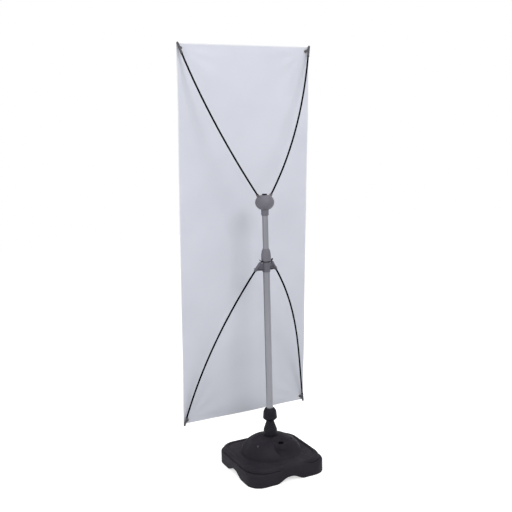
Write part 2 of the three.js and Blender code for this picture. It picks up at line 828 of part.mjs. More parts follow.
// The thin plate between the sleeve and a socket
function wingPlate(side, root, end, line) {
  const inner = side * LOWER_TUBE.radius;
  const low = end.z + SLIDER.ribThickness;
  const high = lerp(low, sliderTop, SLIDER.webHeightShare);
  const half = SLIDER.webThickness / 2;
  const outerAt = (height) => alongLine(root, line, (height - root.z) / line.z);
  const ring = (offset) => [
    vec(inner, root.y + offset, low), vec(outerAt(low).x, outerAt(low).y + offset, low),
    vec(outerAt(high).x, outerAt(high).y + offset, high), vec(inner, root.y + offset, high),
  ];
  return solid(loft([ring(-half), ring(half)]));
}

// The thick lower edge of a wing
function wingRib(side, end) {
  const inner = side * (LOWER_TUBE.radius + CLEARANCE);
  const half = SLIDER.ribDepth / 2;
  const lowShare = 0.75;
  const ring = (height) => [
    vec(inner, -half, height), vec(end.x, end.y - half * lowShare, height),
    vec(end.x, end.y + half * lowShare, height), vec(inner, half, height),
  ];
  const foot = end.z - SLIDER.ribThickness / 2;
  return solid(loft([ring(foot), ring(foot + SLIDER.ribThickness)]));
}

// A flat locking ring with two bent ears to squeeze
function sliderClip() {
  const bore = LOWER_TUBE.radius + CLEARANCE;
  const outer = bore + CLIP.ringWall;
  const half = CLIP.earWidth / 2;
  const parts = [solid(disc(outer, clipFoot, clipTop))];
  for (const side of [1, -1]) {
    const section = (x, height) => [
      vec(side * x, -half, height), vec(side * x, half, height),
      vec(side * x, half, height + CLIP.thickness), vec(side * x, -half, height + CLIP.thickness),
    ];
    parts.push(solid(loft([
      section(bore, clipFoot), section(CLIP.earBend, clipFoot),
      section(CLIP.earReach, clipFoot + CLIP.earRise),
    ])));
  }
  return shapeOf(cutBy(joined(parts), [solid(disc(bore, clipFoot - OVERRUN, clipTop + OVERRUN))]));
}

// Hub that carries the upper rods

const hubRoot = (side) => vec(side * HUB.socketOffset, 0, hubCentre);
const upperLine = (side) => socketLine(side, 1, ROD.upperTilt);
const screwPlaces = [1, -1].map((side) => vec(side * HUB.screwOffset, 0, hubCentre - HUB.screwDrop));

function ellipsoid(shrink, columns, rows) {
  const ball = new THREE.SphereGeometry(1, columns, rows).rotateX(Math.PI / 2);
  ball.scale(HUB.radius - shrink, HUB.radius - shrink, HUB.halfHeight - shrink);
  return solid(ball.translate(0, 0, hubCentre));
}

function ballSurfaceDepth(place) {
  const rise = (place.z - hubCentre) / HUB.halfHeight;
  return HUB.radius * Math.sqrt(1 - (place.x / HUB.radius) ** 2 - rise ** 2);
}

function hubBody() {
  const skin = ellipsoid(0, BALL_STEPS, SMALL_STEPS);
  const inside = ellipsoid(HUB.wall, SMALL_STEPS, SMALL_STEPS / 2)
    .intersect(solid(disc(HUB.radius, hubNeckFoot, hubTop - HUB.wall)));
  const posts = [solid(disc(HUB.neckRadius, hubNeckFoot, upperTubeTop + HUB.wall))];
  for (const side of [1, -1]) {
    posts.push(solid(barAlong(hubRoot(side), upperLine(side), HUB.socketRadius, 0, HUB.ferruleEnd)));
  }
  for (const place of screwPlaces) {
    const reach = HUB.screwReach + HUB.wall;
    const boss = disc(HUB.bossRadius, -ballSurfaceDepth(place), reach, SMALL_STEPS);
    posts.push(solid(laid(boss, place, vec(0, 1, 0))));
  }
  posts.push(solid(disc(HUB_CAP.stemRadius + HUB.wall, hubTop - HUB_CAP.stemDepth - HUB.wall, hubTop)));
  const neck = solid(turned([
    [0, hubNeckFoot], [HUB.neckRadius - HUB.neckChamfer, hubNeckFoot],
    [HUB.neckRadius, hubNeckFoot + HUB.neckChamfer], [HUB.neckRadius, hubCentre], [0, hubCentre],
  ]));
  const crop = solid(disc(HUB.radius + OVERRUN, hubNeckFoot, hubTop));
  const shell = skin.subtract(inside).add(joined(posts).intersect(skin)).intersect(crop).add(neck);
  const tubeHole = UPPER_TUBE.radius + CLEARANCE;
  const cuts = [
    solid(disc(tubeHole, hubNeckFoot - OVERRUN, upperTubeTop + CLEARANCE)),
    solid(disc(HUB_CAP.stemRadius + CLEARANCE, hubTop - HUB_CAP.stemDepth - CLEARANCE, hubTop + OVERRUN)),
  ];
  for (const side of [1, -1]) {
    const [root, line] = [hubRoot(side), upperLine(side)];
    cuts.push(solid(barAlong(root, line, rodBore, HUB.rodStart - CLEARANCE, HUB.ferruleEnd)));
    cuts.push(solid(barAlong(root, line, HUB.ferruleRadius + CLEARANCE,
      HUB.ferruleStart - CLEARANCE, HUB.ferruleEnd)));
  }
  for (const place of screwPlaces) {
    const head = ballSurfaceDepth(place) - HUB.screwHeadSink;
    const shank = disc(HUB.screwRadius + CLEARANCE, -head, HUB.screwReach + CLEARANCE, SMALL_STEPS);
    const pocket = disc(HUB.screwHeadRadius + CLEARANCE, -HUB.radius - OVERRUN, -head, SMALL_STEPS);
    cuts.push(solid(laid(shank, place, vec(0, 1, 0))), solid(laid(pocket, place, vec(0, 1, 0))));
  }
  return cutBy(shell, cuts);
}

// Half of the hub: facing is +1 for the half behind the banner stand, -1 for the banner's side
function hubHalf(body, facing) {
  const reach = HUB.radius + HUB.halfHeight;
  const [near, far] = [HUB.seamGap / 2, reach].map((distance) => facing * distance);
  return shapeOf(body.intersect(solid(block(
    vec(-reach, Math.min(near, far), hubNeckFoot - OVERRUN),
    vec(reach, Math.max(near, far), hubTop + OVERRUN),
  ))));
}

function hubScrew(place) {
  const head = -(ballSurfaceDepth(place) - HUB.screwHeadSink) - CLEARANCE;
  return laid(turned([
    [0, head - HUB.screwHeadHeight], [HUB.screwHeadRadius, head - HUB.screwHeadHeight],
    [HUB.screwHeadRadius, head], [HUB.screwRadius, head],
    [HUB.screwRadius, HUB.screwReach], [0, HUB.screwReach],
  ], SMALL_STEPS), place, vec(0, 1, 0));
}

function hubCap() {
  const foot = hubTop + CLEARANCE;
  const bevel = HUB_CAP.height / 5;
  return turned([
    [0, hubTop - HUB_CAP.stemDepth], [HUB_CAP.stemRadius, hubTop - HUB_CAP.stemDepth],
    [HUB_CAP.stemRadius, foot], [HUB_CAP.radius, foot], [HUB_CAP.radius, foot + HUB_CAP.height - bevel],
    [HUB_CAP.radius - bevel, foot + HUB_CAP.height], [0, foot + HUB_CAP.height],
  ]);
}

const rodFerrule = (side) => laid(
  tubeBetween(rodBore, HUB.ferruleRadius, 0, HUB.ferruleEnd - HUB.ferruleStart, SMALL_STEPS),
  alongLine(hubRoot(side), upperLine(side), HUB.ferruleStart),
  upperLine(side),
);

// Banner frame: X across, Y behind the banner, Z up along it

const bannerFrame = new THREE.Group();
bannerFrame.position.set(0, -(cornerReach + BANNER.swivelGap), BANNER.floorGap);
bannerFrame.rotation.x = -radians(BANNER.lean);
bannerFrame.updateMatrixWorld();
stand.add(bannerFrame);

const fromBanner = (point) => point.clone().applyMatrix4(bannerFrame.matrixWorld);

// A place near a banner corner; end is +1 at the top and -1 at the bottom
function nearCorner(side, end, inset, behind, inward) {
  const edge = end > 0 ? BANNER.height : 0;
  return vec(side * (BANNER.width / 2 - inset), behind, edge - end * inward);
}

function hookAxis(side, end) {
  if (end > 0) {
    return {
      tip: nearCorner(side, end, HOOK.tipInset, HOOK.tipBehind, -HOOK.upperTipRise),
      mouth: nearCorner(side, end, HOOK.upperMouthInset, HOOK.upperMouthBehind, HOOK.upperMouthDrop),
    };
  }
  return {
    tip: nearCorner(side, end, HOOK.tipInset, HOOK.tipBehind, -HOOK.lowerTipRise),
    mouth: nearCorner(side, end, HOOK.lowerMouthInset, HOOK.lowerMouthBehind, HOOK.lowerMouthDrop),
  };
}

const eyeletPlace = (side, end) => nearCorner(side, end, BANNER.eyeletInset, 0, BANNER.eyeletInset);

// Moulded cap on a rod's end, with a beak whose peg goes through the banner's eyelet
function cornerHook(side, end) {
  const { tip, mouth } = hookAxis(side, end);
  const axis = mouth.clone().sub(tip);
  const length = axis.length();
  const line = axis.clone().normalize();
  const roundShares = [[0, 1], [0.5, 0.87], [0.87, 0.5], [1, 0]];
  const nose = roundShares.map(([out, ahead]) => [HOOK.radius * out, -HOOK.radius * ahead]);
  const cap = solid(laid(turned([
    ...nose, [HOOK.radius, length - HOOK.rimWidth], [HOOK.mouthRadius, length - HOOK.rimWidth],
    [HOOK.mouthRadius, length], [0, length],
  ], SMALL_STEPS), tip, line));
  const eyelet = eyeletPlace(side, end);
  const pegFoot = BANNER.thickness / 2 + EYELET.flange + 2 * CLEARANCE;
  const half = HOOK.beakHalfWidth;
  const root = (run) => alongLine(tip, line, run);
  const rootRing = [
    [root(HOOK.beakRootNear), -1], [root(HOOK.beakRootFar), -1],
    [root(HOOK.beakRootFar), 1], [root(HOOK.beakRootNear), 1],
  ].map(([point, up]) => vec(point.x, point.y + up * HOOK.beakRootThickness / 2, point.z));
  const endRing = [
    [end, pegFoot], [-end, pegFoot], [-end, HOOK.beakTop], [end, HOOK.beakTop],
  ].map(([up, behind]) => vec(eyelet.x - side * half, behind, eyelet.z + up * half));
  const beak = solid(loft([rootRing, endRing]));
  const peg = solid(laid(
    disc(HOOK.pegRadius, 0, HOOK.pegReach + HOOK.beakTop - CLEARANCE, SMALL_STEPS),
    vec(eyelet.x, HOOK.beakTop - CLEARANCE, eyelet.z),
    vec(0, -1, 0),
  ));
  const bore = solid(barAlong(mouth, line, rodBore, -HOOK.rodDepth - CLEARANCE, OVERRUN));
  return shapeOf(cap.add(beak).add(peg).subtract(bore));
}

// The sheet's shallow tension folds, which fan out from the hooks and die away at the corners
function foldDepthAt(across, up) {
  let depth = 0;
  for (const side of [1, -1]) {
    for (const end of [1, -1]) {
      const corner = eyeletPlace(side, end);
      const inward = side * (corner.x - across);
      const along = end * (corner.z - up);
      const reach = Math.hypot(inward, along);
      const swell = smoothstep(reach, BANNER.foldStart, BANNER.foldReach);
      const fade = 1 - smoothstep(reach, BANNER.foldReach, BANNER.foldEnd);
      depth += BANNER.foldDepth * swell * fade * Math.cos(4 * Math.atan2(inward, along));
    }
  }
  return depth;
}

function bannerSheet() {
  const ring = (column) => {
    const across = lerp(-BANNER.width / 2, BANNER.width / 2, column / BANNER.columns);
    const front = [];
    const back = [];
    for (let row = 0; row <= BANNER.rows; row++) {
      const up = BANNER.height * row / BANNER.rows;
      const depth = foldDepthAt(across, up);
      front.push(vec(across, depth - BANNER.thickness / 2, up));
      back.push(vec(across, depth + BANNER.thickness / 2, up));
    }
    return [...front, ...back.reverse()];
  };
  const rings = Array.from({ length: BANNER.columns + 1 }, (_, column) => ring(column));
  const holes = [];
  for (const side of [1, -1]) {
    for (const end of [1, -1]) {
      const reach = EYELET.flange + BANNER.thickness;
      holes.push(solid(laid(disc(BANNER.holeRadius, -reach, reach, SMALL_STEPS),
        eyeletPlace(side, end), vec(0, 1, 0))));
    }
  }
  return shapeOf(cutBy(solid(sheetSkin(rings)), holes));
}

// A thin sheet's skin: its end edges are strips, not fans
function sheetSkin(rings) {
  const count = rings[0].length;
  const index = [];
  for (let r = 0; r + 1 < rings.length; r++) {
    for (let i = 0; i < count; i++) {
      const a = r * count + i;
      const b = r * count + (i + 1) % count;
      index.push(a, b, b + count, a, b + count, a + count);
    }
  }
  const last = (rings.length - 1) * count;
  for (let i = 0; i + 1 < count / 2; i++) {
    const [a, b, c, d] = [i, i + 1, count - 2 - i, count - 1 - i];
    index.push(a, c, b, a, d, c);
    index.push(last + a, last + b, last + c, last + a, last + c, last + d);
  }
  const geometry = new THREE.BufferGeometry().setFromPoints(rings.flat());
  geometry.setIndex(index);
  return geometry;
}

function eyelet(side, end) {
  const near = BANNER.thickness / 2 + CLEARANCE;
  const far = near + EYELET.flange;
  return laid(turnedRing([
    [EYELET.innerRadius, -far], [EYELET.outerRadius, -far], [EYELET.outerRadius, -near],
    [EYELET.barrelRadius, -near], [EYELET.barrelRadius, near], [EYELET.outerRadius, near],
    [EYELET.outerRadius, far], [EYELET.innerRadius, far],
  ], SMALL_STEPS), eyeletPlace(side, end), vec(0, 1, 0));
}

// Rods: straight in the socket and in the hook, one springy curve between

function bentRod(root, line, from, to, side, end) {
  const { tip, mouth } = hookAxis(side, end);
  const hookMouth = fromBanner(mouth);
  const arrive = fromBanner(tip).sub(hookMouth).normalize();
  const start = alongLine(root, line, from);
  const leave = alongLine(root, line, to);
  const handleShare = 1 / 3;
  const handle = leave.distanceTo(hookMouth) * handleShare;
  const path = new THREE.CurvePath();
  path.add(new THREE.LineCurve3(start, leave));
  path.add(new THREE.CubicBezierCurve3(
    leave,
    alongLine(leave, line, handle),
    alongLine(hookMouth, arrive, -handle),
    hookMouth,
  ));
  path.add(new THREE.LineCurve3(hookMouth, alongLine(hookMouth, arrive, HOOK.rodDepth)));
  const section = new THREE.Shape(ringAngles(ROD.sides).map((angle) => new THREE.Vector2(
    ROD.radius * Math.cos(angle), ROD.radius * Math.sin(angle),
  )));
  return closed(new THREE.ExtrudeGeometry(section, { steps: ROD.steps, extrudePath: path }));
}

const upperRod = (side) => bentRod(
  hubRoot(side), upperLine(side), HUB.rodStart, HUB.ferruleEnd, side, 1,
);
const lowerRod = (side) => bentRod(
  sliderRoot(side), lowerLine(side), SLIDER.socketLength - SLIDER.rodDepth, SLIDER.socketLength, side, -1,
);

// Assembly

addPiece('base_tank', tankBase(), FINISH.tank);
addPiece('water_fill', waterFill(), FINISH.water);
addPiece('filler_cap', fillerCap(), FINISH.trim);
addPiece('filler_seal', fillerSeal(), FINISH.seal);
addPiece('neck_cap', neckCap(), FINISH.trim);
addPiece('neck_nut', neckNut(), FINISH.trim);
addPiece('neck_collet', splitCollet(
  stubBore, COLLET.footWall, COLLET.tipWall, colletFoot, colletTop - CLEARANCE, COLLET.slotWidth,
), FINISH.nylon);

addPiece('mast_spigot', mastSpigot(), FINISH.trim);
addPiece('lower_tube', tubeBetween(lowerBore, LOWER_TUBE.radius, tubeFoot, tubeTop), FINISH.tube);
addPiece('lock_thread', lockThread(), FINISH.grey);
addPiece('lock_collet', splitCollet(
  lockColletBore, LOCK.colletFootWall, LOCK.colletTipWall, lockColletFoot + CLEARANCE, lockColletTop,
  COLLET.slotWidth,
), FINISH.nylon);
addPiece('lock_collar', lockCollar(), FINISH.grey);

addPiece('upper_tube', tubeBetween(upperBore, UPPER_TUBE.radius, upperTubeFoot, upperTubeTop), FINISH.tube);
addPiece('upper_tube_plug', upperTubePlug(), FINISH.trim);
addPiece('slider_bracket', sliderBracket(), FINISH.grey);
addPiece('slider_clip', sliderClip(), FINISH.clip);

const hub = hubBody();
addPiece('hub_rear_half', hubHalf(hub, 1), FINISH.grey);
addPiece('hub_front_half', hubHalf(hub, -1), FINISH.grey);
addPiece('hub_cap', hubCap(), FINISH.trim);

for (const [label, side] of [['left', 1], ['right', -1]]) {
  addPiece(`hub_screw_${label}`, hubScrew(screwPlaces[side > 0 ? 0 : 1]), FINISH.silver);
  addPiece(`rod_ferrule_${label}`, rodFerrule(side), FINISH.silver);
  addPiece(`upper_rod_${label}`, upperRod(side), FINISH.rod);
  addPiece(`lower_rod_${label}`, lowerRod(side), FINISH.rod);
  addPiece(`upper_hook_${label}`, cornerHook(side, 1), FINISH.hook, bannerFrame);
  addPiece(`lower_hook_${label}`, cornerHook(side, -1), FINISH.hook, bannerFrame);
  addPiece(`upper_eyelet_${label}`, eyelet(side, 1), FINISH.silver, bannerFrame);
  addPiece(`lower_eyelet_${label}`, eyelet(side, -1), FINISH.silver, bannerFrame);
}

addPiece('banner', bannerSheet(), FINISH.banner, bannerFrame);

export default stand;
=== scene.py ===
"""Looks of the x banner stand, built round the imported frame.

Shapes are made in millimetres and brought to metres as each piece is finished.
"""

import logging
from collections.abc import Callable, Iterable, Sequence
from dataclasses import dataclass, fields
from enum import Enum
from math import acos, asin, atan2, cos, hypot, pi, radians, sin, sqrt, tan, tau
from typing import ClassVar

import bmesh
import bpy
from bpy.types import Material, Node, NodeSocket, NodeTree, Object
from mathutils import Matrix, Vector


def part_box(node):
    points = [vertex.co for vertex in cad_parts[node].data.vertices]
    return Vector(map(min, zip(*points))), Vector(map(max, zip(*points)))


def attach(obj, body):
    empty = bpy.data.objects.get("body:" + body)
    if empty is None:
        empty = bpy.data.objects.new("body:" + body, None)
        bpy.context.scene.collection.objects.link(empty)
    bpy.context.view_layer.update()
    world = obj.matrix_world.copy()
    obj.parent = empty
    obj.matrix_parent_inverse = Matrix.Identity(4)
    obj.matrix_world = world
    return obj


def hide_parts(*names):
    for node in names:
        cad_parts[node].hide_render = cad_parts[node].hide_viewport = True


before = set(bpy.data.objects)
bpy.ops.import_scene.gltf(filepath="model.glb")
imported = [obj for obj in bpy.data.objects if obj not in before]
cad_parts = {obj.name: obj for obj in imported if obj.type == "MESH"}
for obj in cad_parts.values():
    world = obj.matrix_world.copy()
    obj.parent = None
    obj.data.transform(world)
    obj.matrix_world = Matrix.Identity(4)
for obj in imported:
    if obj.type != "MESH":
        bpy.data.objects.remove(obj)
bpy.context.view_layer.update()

LOG = logging.getLogger("banner_stand")
MM = 0.001
CLEARANCE = 0.3
OVERSHOOT = 3.0
MERGE = 1e-4
ROUND = 96
SMALL = 40
BEVEL_PARTS = 2
BEVEL_ANGLE = 40.0
BAR_DETAIL = 5
ROD_BORE = 3.9
BEHIND = Vector((0, 1, 0))
WHITE = (1.0, 1.0, 1.0, 1.0)

Profile = Sequence[tuple[float, float]]
Colour = tuple[float, float, float]
Place = Sequence[float]
Level = float | Callable[[float], float]
Ring = tuple[Level, Level]
Shape = bmesh.types.BMesh
Amount = float | NodeSocket
Numbers = ClassVar[tuple[float, ...]]
Tint = Place | NodeSocket


class Way(Enum):
    """Two opposite ways, by sign."""

    @property
    def label(self) -> str:
        """The word in node names."""
        return self.name.lower()


class Side(Way):
    """The stand's two sides, by the sign of X."""

    LEFT = 1
    RIGHT = -1


class End(Way):
    """The banner's two ends, by the sign of Z from its middle."""

    UPPER = 1
    LOWER = -1


CORNERS = [(side, end) for end in End for side in Side]


class Join(Enum):
    """How one solid shape meets another."""

    UNION = "UNION"
    CUT = "DIFFERENCE"
    COMMON = "INTERSECT"


# Small sums


def clamp(value: float, low: float = 0.0, high: float = 1.0) -> float:
    """Holds a value between two limits."""
    return max(low, min(high, value))


def mix(start: float, end: float, share: float) -> float:
    """The value a share of the way from start to end."""
    return start + (end - start) * share


def smoothstep(value: float, low: float, high: float) -> float:
    """A soft step from 0 at low to 1 at high."""
    share = clamp((value - low) / (high - low))
    return share * share * (3 - 2 * share)


def span(node: str) -> tuple[float, float]:
    """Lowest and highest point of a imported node, in millimetres."""
    low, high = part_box(node)
    return low[2] / MM, high[2] / MM


# Node trees


@dataclass
class Bench:
    """Lays shader nodes in one tree; each number may be a value or a socket."""

    tree: NodeTree

    def put(self, kind: str, inputs: dict | None = None, **settings) -> Node:
        """Adds a node.

        Args:
            kind: The node's type, without its first word.
            inputs: Values or sockets by input name or index.
            **settings: Properties of the node itself.

        Returns:
            The new node.
        """
        node = self.tree.nodes.new(f"ShaderNode{kind}")
        for key, value in settings.items():
            setattr(node, key, value)
        for key, value in (inputs or {}).items():
            if isinstance(value, NodeSocket):
                self.tree.links.new(value, node.inputs[key])
            else:
                node.inputs[key].default_value = value
        return node

    def place(self, kind: str) -> NodeSocket:
        """The object's own coordinates of a kind."""
        return self.put("TexCoord").outputs[kind]

    def axes(self, vector: NodeSocket) -> list[NodeSocket]:
        """The three parts of a vector."""
        return list(self.put("SeparateXYZ", {0: vector}).outputs)

    def noise(self, vector: NodeSocket, scale: Amount, detail: float, twist: float = 0.0) -> NodeSocket:
        """Noise from 0 to 1."""
        inputs = {"Vector": vector, "Scale": scale, "Detail": detail, "Distortion": twist}
        return self.put("TexNoise", inputs).outputs[0]

    def stretched(self, vector: NodeSocket, scale: Place) -> NodeSocket:
        """A vector with each part multiplied."""
        return self.put("Mapping", {"Vector": vector, "Scale": scale}).outputs[0]

    def sums(self, operation: str, first: Amount, second: Amount) -> NodeSocket:
        """One sum on two numbers."""
        return self.put("Math", {0: first, 1: second}, operation=operation).outputs[0]

    def times(self, first: Amount, second: Amount) -> NodeSocket:
        """Two numbers multiplied."""
        return self.sums("MULTIPLY", first, second)

    def spread(self, value: NodeSocket, low: float, high: float) -> NodeSocket:
        """Stretches a run from low to high on to 0 to 1."""
        return self.put("MapRange", {0: value, 1: low, 2: high}).outputs[0]

    def blend(self, share: Amount, first: Amount, second: Amount) -> NodeSocket:
        """Mixes two numbers."""
        return self.put("Mix", {0: share, 2: first, 3: second}, data_type="FLOAT").outputs[0]

    def tint(self, share: Amount, first: Tint, second: Tint) -> NodeSocket:
        """Mixes two colours."""
        return self.put("Mix", {0: share, 6: first, 7: second}, data_type="RGBA").outputs[2]

    def bump(self, strength: float, depth: NodeSocket, height: NodeSocket) -> NodeSocket:
        """A bumped normal."""
        inputs = {"Strength": strength, "Distance": depth, "Height": height}
        return self.put("Bump", inputs).outputs[0]


class Effect(Bench):
    """A shader effect that more than one material places with its own values."""

    name: ClassVar[str]
    numbers: ClassVar[tuple[str, ...]]
    colours: ClassVar[tuple[str, ...]] = ("Body", "Second")
    results: ClassVar[dict[str, str]] = {"Color": "Color", "Roughness": "Float", "Normal": "Vector"}

    def __init__(self) -> None:
        """Makes the group with its named sockets, then lays its nodes."""
        super().__init__(bpy.data.node_groups.new(self.name, "ShaderNodeTree"))
        sockets = [(label, "INPUT", "Color") for label in self.colours]
        sockets += [(label, "INPUT", "Float") for label in (*self.numbers, "Depth", "Smooth", "Dull")]
        sockets += [(label, "OUTPUT", kind) for label, kind in self.results.items()]
        for label, way, kind in sockets:
            self.tree.interface.new_socket(name=label, in_out=way, socket_type=f"NodeSocket{kind}")
        self.given = self.tree.nodes.new("NodeGroupInput").outputs
        end = self.tree.nodes.new("NodeGroupOutput")
        for label, socket in zip(self.results, self.lay()):
            self.tree.links.new(socket, end.inputs[label])

    def lay(self) -> tuple[NodeSocket, NodeSocket, NodeSocket]:
        """Lays the effect's nodes and returns its colour, roughness and normal."""
        raise NotImplementedError


class MouldedSkin(Effect):
    """The skin of moulded plastic: fine grain, slow mottle, rubs, and on upward faces settled dust that is
    also a painted sheen.
    """

    name = "moulded_skin"
    numbers = ("Grain", "Dust", "Rub")
    grain_detail: ClassVar[float] = 3.0
    mottle_noise: Numbers = (11.0, 4.0)
    rub_noise: Numbers = (60.0, 6.0, 1.2)
    facing_up: Numbers = (0.45, 1.0)
    dust_and_sheen_run: Numbers = (0.3, 0.75)
    scuffed_run: Numbers = (0.56, 0.74)
    mottled_run: Numbers = (0.35, 0.7)
    rubbed_run: Numbers = (0.3, 0.7)
    dust_colour: Numbers = (0.3, 0.29, 0.28, 1.0)
    relief: ClassVar[float] = 0.6

    def lay(self) -> tuple[NodeSocket, NodeSocket, NodeSocket]:
        """Lays grain, mottle, rubs, and dust with a painted sheen on upward faces."""
        given, place = self.given, self.place("Object")
        grain = self.noise(place, given["Grain"], self.grain_detail)
        slow = self.noise(place, *self.mottle_noise)
        rubs = self.noise(place, *self.rub_noise)
        upward = self.axes(self.put("NewGeometry").outputs["Normal"])[2]
        # Upward faces are tinted towards a pale colour: partly settled dust, partly painted sheen where
        # light falls from above.
        dust_and_sheen_mask = self.times(self.spread(upward, *self.facing_up), self.spread(slow, *self.dust_and_sheen_run))
        scuff = self.times(self.spread(rubs, *self.scuffed_run), given["Rub"])
        body = self.tint(self.spread(slow, *self.mottled_run), given["Body"], given["Second"])
        worn = self.tint(scuff, body, given["Second"])
        dust_and_sheen_tinted = self.tint(self.times(dust_and_sheen_mask, given["Dust"]), worn, self.dust_colour)
        rough = self.blend(self.spread(rubs, *self.rubbed_run), given["Smooth"], given["Dull"])
        return dust_and_sheen_tinted, rough, self.bump(self.relief, given["Depth"], grain)


class DrawnMetal(Effect):
    """Metal drawn or turned along the mast: fine streaks along Z and faint smudges."""

    name = "drawn_metal"
    numbers = ("Streaks", "Length")
    streak_noise: Numbers = (1.0, 3.0)
    smudge_noise: Numbers = (24.0, 5.0)
    middle_run: Numbers = (0.3, 0.7)
    relief: ClassVar[float] = 0.5

    def lay(self) -> tuple[NodeSocket, NodeSocket, NodeSocket]:
        """Lays streaks, their bump and the smudges."""
        given, place = self.given, self.place("Object")
        scales = (given["Streaks"], given["Streaks"], given["Length"])
        parts = [self.times(axis, scale) for axis, scale in zip(self.axes(place), scales)]
        drawn = self.put("CombineXYZ", dict(enumerate(parts))).outputs[0]
        streak = self.noise(drawn, *self.streak_noise)
        smudge = self.noise(place, *self.smudge_noise)
        shade = self.tint(self.spread(streak, *self.middle_run), given["Body"], given["Second"])
        rough = self.blend(self.spread(smudge, *self.middle_run), given["Smooth"], given["Dull"])
        return shade, rough, self.bump(self.relief, given["Depth"], streak)


class WovenCloth(Effect):
    """Smooth woven display cloth on the sheet's own map, with slubs and paler cut edges."""

    name = "woven_cloth"
    numbers = ("Across", "Along", "Hem")
    colours = ("Body", "Second", "Edge")
    shade_stretch: Numbers = (0.6, 1.6, 1.0)
    shade_noise: Numbers = (3.2, 2.0)
    shade_run: Numbers = (0.38, 0.66)
    slub_stretch: Numbers = (9.0, 900.0, 1.0)
    slub_noise: Numbers = (1.0, 2.0)
    slub_tint: ClassVar[float] = 0.25
    slub_height: ClassVar[float] = 0.6
    length_share: ClassVar[float] = 2.7
    hem_tint: ClassVar[float] = 0.7
    relief: ClassVar[float] = 0.25

    def threads(self, axis: NodeSocket, count: NodeSocket) -> NodeSocket:
        """Waves along one axis of the map."""
        return self.sums("SINE", self.times(axis, self.times(count, tau)), 0.0)

    def from_edge(self, axis: NodeSocket) -> NodeSocket:
        """How far a place lies from the nearer edge along one axis of the map."""
        return self.sums("MINIMUM", axis, self.sums("SUBTRACT", 1.0, axis))

    def lay(self) -> tuple[NodeSocket, NodeSocket, NodeSocket]:
        """Lays the weave, the slubs, the slow shade and the paler edges."""
        given, place = self.given, self.place("UV")
        across, along, _ = self.axes(place)
        weave = self.times(self.threads(across, given["Across"]), self.threads(along, given["Along"]))
        slow = self.noise(self.stretched(place, self.shade_stretch), *self.shade_noise)
        slub = self.noise(self.stretched(place, self.slub_stretch), *self.slub_noise)
        from_end = self.times(self.from_edge(along), self.length_share)
        near = self.sums("MINIMUM", self.from_edge(across), from_end)
        hem = self.sums("LESS_THAN", near, given["Hem"])
        body = self.tint(self.spread(slow, *self.shade_run), given["Body"], given["Second"])
        lined = self.tint(self.times(slub, self.slub_tint), body, given["Second"])
        edged = self.tint(self.times(hem, self.hem_tint), lined, given["Edge"])
        rough = self.blend(slub, given["Smooth"], given["Dull"])
        height = self.sums("ADD", weave, self.times(slub, self.slub_height))
        return edged, rough, self.bump(self.relief, given["Depth"], height)


# Finishes


@dataclass(frozen=True)
class Finish:
    """A material's own numbers; a field named as one of its effect's inputs is given to it."""

    name: str
    slot: str
    body: Colour
    second: Colour
    smooth: float
    dull: float
    depth: float
    specular: float = 0.5
    metallic: float = 0.0
    coat: float = 0.0
    sheen: float = 0.0
    effect: ClassVar[type[Effect]]

    def material(self) -> Material:
        """The finish's material, made on first use."""
        known = bpy.data.materials.get(self.name)
        if known:
            return known
        made = bpy.data.materials.new(self.name)
        made.use_nodes = True
        bench = Bench(made.node_tree)
        group = bpy.data.node_groups.get(self.effect.name) or self.effect().tree
        skin = bench.put("Group", node_tree=group)
        for item in fields(self):
            value, label = getattr(self, item.name), item.name.capitalize()
            if label in skin.inputs:
                skin.inputs[label].default_value = (*value, 1.0) if isinstance(value, tuple) else value
        shader = made.node_tree.nodes["Principled BSDF"].inputs
        for label, value in (("Metallic", self.metallic), ("Specular IOR Level", self.specular),
                             ("Coat Weight", self.coat), ("Sheen Weight", self.sheen)):
            shader[label].default_value = value
        for label, target in (("Color", "Base Color"), ("Roughness", "Roughness"), ("Normal", "Normal")):
            bench.tree.links.new(skin.outputs[label], shader[target])
        return made


@dataclass(frozen=True)
class Plastic(Finish):
    """Moulded plastic or rubber."""

    grain: float = 1600.0
    # How far upward faces lighten: settled dust together with a painted sheen.
    dust: float = 0.0
    rub: float = 0.2
    effect = MouldedSkin


@dataclass(frozen=True)
class Metal(Finish):
    """Drawn, turned or pressed metal."""

    streaks: float = 700.0
    length: float = 300.0
    effect = DrawnMetal


@dataclass(frozen=True)
class Cloth(Finish):
    """The banner's cloth, with its threads across and along the sheet."""

    edge: Colour = (0.8, 0.81, 0.85)
    hem: float = 0.006
    across: float = 1020.0
    along: float = 2720.0
    effect = WovenCloth


TANK = Plastic("satin_black_tank", "tank", (0.022, 0.0195, 0.0253), (0.0282, 0.0253, 0.0321),
               0.5, 0.66, 0.00009, 0.05, grain=420.0, dust=0.01, rub=0.12)
# The pip is the tank's own plastic: its body, about twice as light as the tank's, is a painted highlight,
# while its low roughness and higher specular give its real gloss.
PIP_PAINTED_HIGHLIGHT = Plastic("polished_pip_painted_highlight", "tank", (0.045, 0.043, 0.048), (0.06, 0.058, 0.064),
              0.16, 0.24, 0.00001, 0.6, grain=900.0, rub=0.4)
